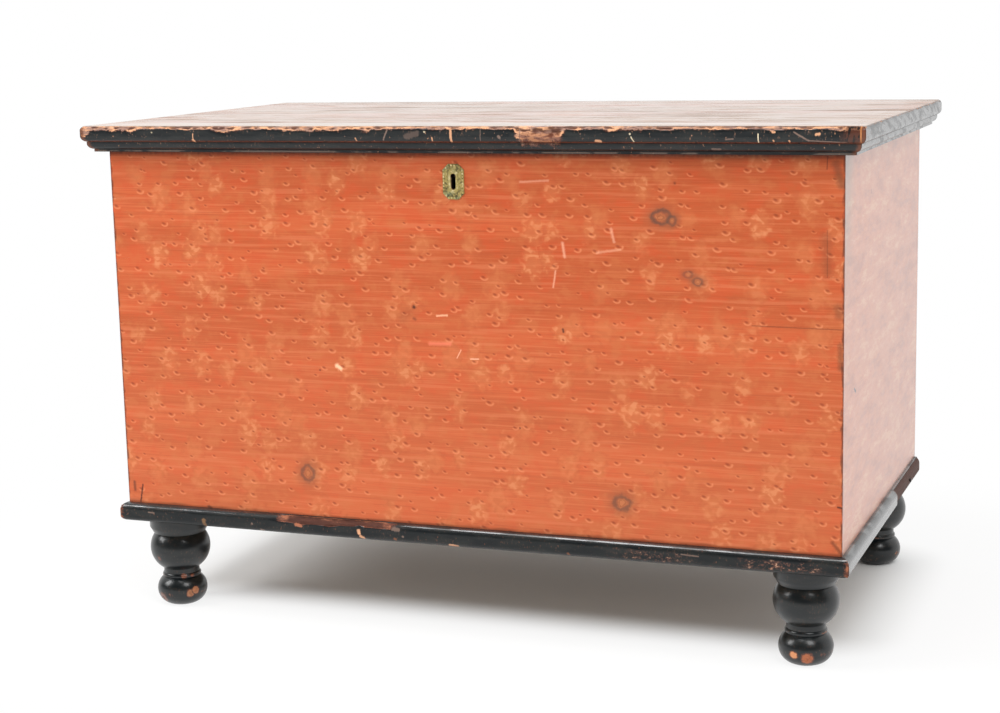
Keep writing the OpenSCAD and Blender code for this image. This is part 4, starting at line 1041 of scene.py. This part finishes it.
# The missing splinter: its two ends, where it gets lower, its height and its thickness
SPLIT_FROM = -250.0
SPLIT_NARROWS = -170.0
SPLIT_TO = -108.0
SPLIT_TALL = 10.0
SPLIT_THICK = 8.0


def front_is_split(p):
    """A long splinter is missing from the top arris of the front base moulding."""
    share = between(p.x, SPLIT_FROM, SPLIT_TO, 50.0)
    wave = 1.0 + 0.35 * cloud_at(Vector((p.x / 22, 2.0, 2.0)))
    lean = 1.0 - 0.3 * between(p.x, SPLIT_NARROWS, SPLIT_TO, 40.0)
    down = (BASE_HIGH.z - p.z) / (SPLIT_TALL * wave * lean)
    back = (p.y - BASE_LOW.y) / SPLIT_THICK
    return share * max(0.0, min(1.0, (1.0 - max(down, back)) * 4.0))


BASE_TALL = 25.0


def base_moulding_wear(p):
    """Along both arrises, at the corners and where a splinter is missing."""
    below = BASE_HIGH.z - p.z
    in_side = BASE_HIGH.x - abs(p.x)
    out = min(p.y - BASE_LOW.y, in_side)
    along = Vector((p.x / 30, p.y / 30, 8.0))
    top = 0.34 + 0.35 * cloud_at(along) - hypot(below, out) / 7.0
    low = 0.50 + 0.5 * cloud_at(along * 1.7) - hypot(below - BASE_TALL, out) / 5.0
    corner = 0.75 - hypot(in_side, p.y - BASE_LOW.y) / 14.0
    return max(top, low, corner, front_is_split(p) * 0.9, 0.04)


LID_STRIPS = (
    # node, its long axis, slice length
    ("lid_moulding_front", 0, 5.0),
    ("lid_moulding_left", 1, 10.0),
    ("lid_moulding_right", 1, 7.0),
)
# Slice heights, and slice depths across the strips
UP_STEP = 1.8
LID_IN_STEP = 4.0
BASE_IN_STEP = 2.5

for node, side, step in LID_STRIPS:
    moulding = merged_copy(node, "worn_" + node)
    slice_up(moulding, (side, step), (2, UP_STEP), (1 - side, LID_IN_STEP))
    wear_away(moulding, lid_moulding_wear)
    put(moulding, LID_MOULDING_PAINT, "lid", "dark_paint", node)

ROUND = WORN_ROUND - CAD_ROUND
BASE_STRIPS = (
    # node, its long axis, slice length, how its top is rounded, what has split off
    ("base_moulding_front", 0, 5.0,
     ((rounded_off, "Y", ROUND), (rounded_near_left, "X", ROUND), (rounded_near_right, "X", -ROUND)),
     ((front_is_split, "Y", 2.0), (front_is_split, "Z", -2.0))),
    ("base_moulding_left", 1, 8.0, ((rounded_off, "X", ROUND), (rounded_near_front, "Y", ROUND)), ()),
    ("base_moulding_right", 1, 5.0, ((rounded_off, "X", -ROUND), (rounded_near_front, "Y", ROUND)),
     ((right_side_is_broken, "X", -2.6),)),
)
for node, side, step, rounds, splits in BASE_STRIPS:
    moulding = merged_copy(node, "worn_" + node)
    slice_up(moulding, (side, step), (2, UP_STEP), (1 - side, BASE_IN_STEP))
    places = [v.co.copy() for v in moulding.data.vertices]
    push(moulding, *[(None, axis, depth, shares_of(places, share)) for share, axis, depth in rounds])
    wear_away(moulding, base_moulding_wear, splits=splits)
    put(moulding, BASE_MOULDING_PAINT, "case", "dark_paint", node)


LOWER_BALL_Z = 18.0
BEAD_Z = 42.5


def foot_wear(p):
    """Light wear on the lower ball, the bead and the foot's edge, and in the chipped patches."""
    spread = cloud_at(Vector((p.x / 18, p.y / 18, p.z / 18)))
    lower = 0.35 - abs(p.z - LOWER_BALL_Z) / 14.0 + spread * 0.7
    bead = 0.5 - abs(p.z - BEAD_Z) / 5.0 + spread * 0.6
    foot = 0.6 - p.z / 4.0
    patch = max(1.2 - hypot(p.x - x, p.y - y, p.z - z) / radius for x, y, z, radius, tint in FOOT_SPOTS)
    return max(lower, bead, foot, patch, 0.0) * 0.8


for place in ("front_left", "front_right", "rear_left", "rear_right"):
    foot = merged_copy("foot_" + place, "worn_foot_" + place)
    wear_away(foot, foot_wear, dent=0.3, chip=0.9)
    put(foot, FOOT_PAINT, "case", "dark_paint", "foot_" + place)


# The part of the floor that is shown as lit, and how softly it turns to white round that
SHADE_HALF_WIDTH = 450.0
SHADE_FRONT = -95.0
SHADE_BACK = 260.0
NEAR_FADE = 120.0
FAR_FADE = 600.0
FLOOR_SIZE = 30
FLOOR_WHITE = srgb(248, 248, 247)


def make_floor():
    """A pale floor that looks white away from the chest and keeps its shadow."""
    bpy.ops.object.select_all(action="DESELECT")
    bpy.ops.mesh.primitive_plane_add(size=FLOOR_SIZE, location=(0, 0, 0))
    floor = bpy.context.object
    floor.name = "floor"
    white = Finish("white_floor", Roughness=0.9, Specular_IOR_Level=0.1)
    white.colour(FLOOR_WHITE)
    x, y, z = white.place()
    beside = (abs(x) - SHADE_HALF_WIDTH).max(0.0)
    before = (SHADE_FRONT - y).max(y - SHADE_BACK).max(0.0)
    away = length(beside, before)
    far = away.ramp(0.0, NEAR_FADE) * 0.85 + away.ramp(NEAR_FADE, FAR_FADE) * 0.15
    ray, shine = white.rays()
    glow = white.node("ShaderNodeEmission", values={"Color": (1, 1, 1, 1), "Strength": 1.0})
    lit = Value(white, white.shader.outputs[0])
    seen = white.node("ShaderNodeMixShader", values={0: ray.max(shine) * far, 1: lit, 2: glow})
    white.fill(white.tree.nodes["Material Output"].inputs["Surface"], seen)
    floor.data.materials.append(white.material)


# Strength of the ambient light, and of what gloss mirrors in front of the chest
AMBIENT = 0.68
ROOM_GLOSS = 0.07


def make_world():
    """Plain ambient light. What the camera sees is white, and gloss mirrors a white sweep behind
    the chest and a dimmer room in front of it."""
    world = bpy.data.worlds.new("studio")
    bpy.context.scene.world = world
    world.use_nodes = True
    sky = Nodes(world.node_tree)
    way = sky.node("ShaderNodeTexCoord", out="Generated")
    split = sky.node("ShaderNodeSeparateXYZ", values={0: way})
    mirrored = sky.blend(ROOM_GLOSS, 1.0, sky.sibling(split, 1).ramp(-0.25, 0.25))
    ray, shine = sky.rays()
    strength = sky.blend(sky.blend(AMBIENT, mirrored, shine), 1.0, ray)
    light = sky.tree.nodes["Background"]
    light.inputs["Color"].default_value = (1, 1, 1, 1)
    sky.fill(light.inputs["Strength"], strength)


LAMPS = (
    # name, azimuth from the front, elevation, distance, width, height, power
    ("left_softbox", -60, 28, 3.2, 1.1, 1.5, 45),
    ("right_softbox", 43, 42, 3.2, 1.1, 1.5, 38),
    ("top_softbox", -21, 66, 2.8, 1.7, 0.9, 30),
)
LOOK_AT = Vector((0.0, 0.0, 0.35))


def make_lamps():
    for name, azimuth, elevation, distance, width, height, power in LAMPS:
        turn, rise = radians(azimuth), radians(elevation)
        way = Vector((sin(turn) * cos(rise), -cos(turn) * cos(rise), sin(rise)))
        data = bpy.data.lights.new(name, "AREA")
        data.shape = "RECTANGLE"
        data.size = width
        data.size_y = height
        data.energy = power
        lamp = bpy.data.objects.new(name, data)
        lamp.location = LOOK_AT + way * distance
        lamp.rotation_euler = way.to_track_quat("Z", "Y").to_euler()
        lamp.visible_camera = False
        bpy.context.scene.collection.objects.link(lamp)


CAMERA_PLACE = (0.9343, -2.5587, 0.8240)
CAMERA_AZIMUTH = 20.954
CAMERA_DOWN = 10.137
CAMERA_ROLL = -1.321
LENS = 70.02
SENSOR = 36.0


def make_camera():
    data = bpy.data.cameras.new("camera")
    data.lens = LENS
    data.sensor_width = SENSOR
    camera = bpy.data.objects.new("camera", data)
    camera.location = CAMERA_PLACE
    turn = (Matrix.Rotation(radians(CAMERA_AZIMUTH), 4, "Z")
            @ Matrix.Rotation(radians(90 - CAMERA_DOWN), 4, "X")
            @ Matrix.Rotation(radians(CAMERA_ROLL), 4, "Z"))
    camera.rotation_euler = turn.to_euler()
    bpy.context.scene.collection.objects.link(camera)
    bpy.context.scene.camera = camera


make_floor()
make_world()
make_lamps()
make_camera()
bpy.context.scene.view_settings.view_transform = "Standard"
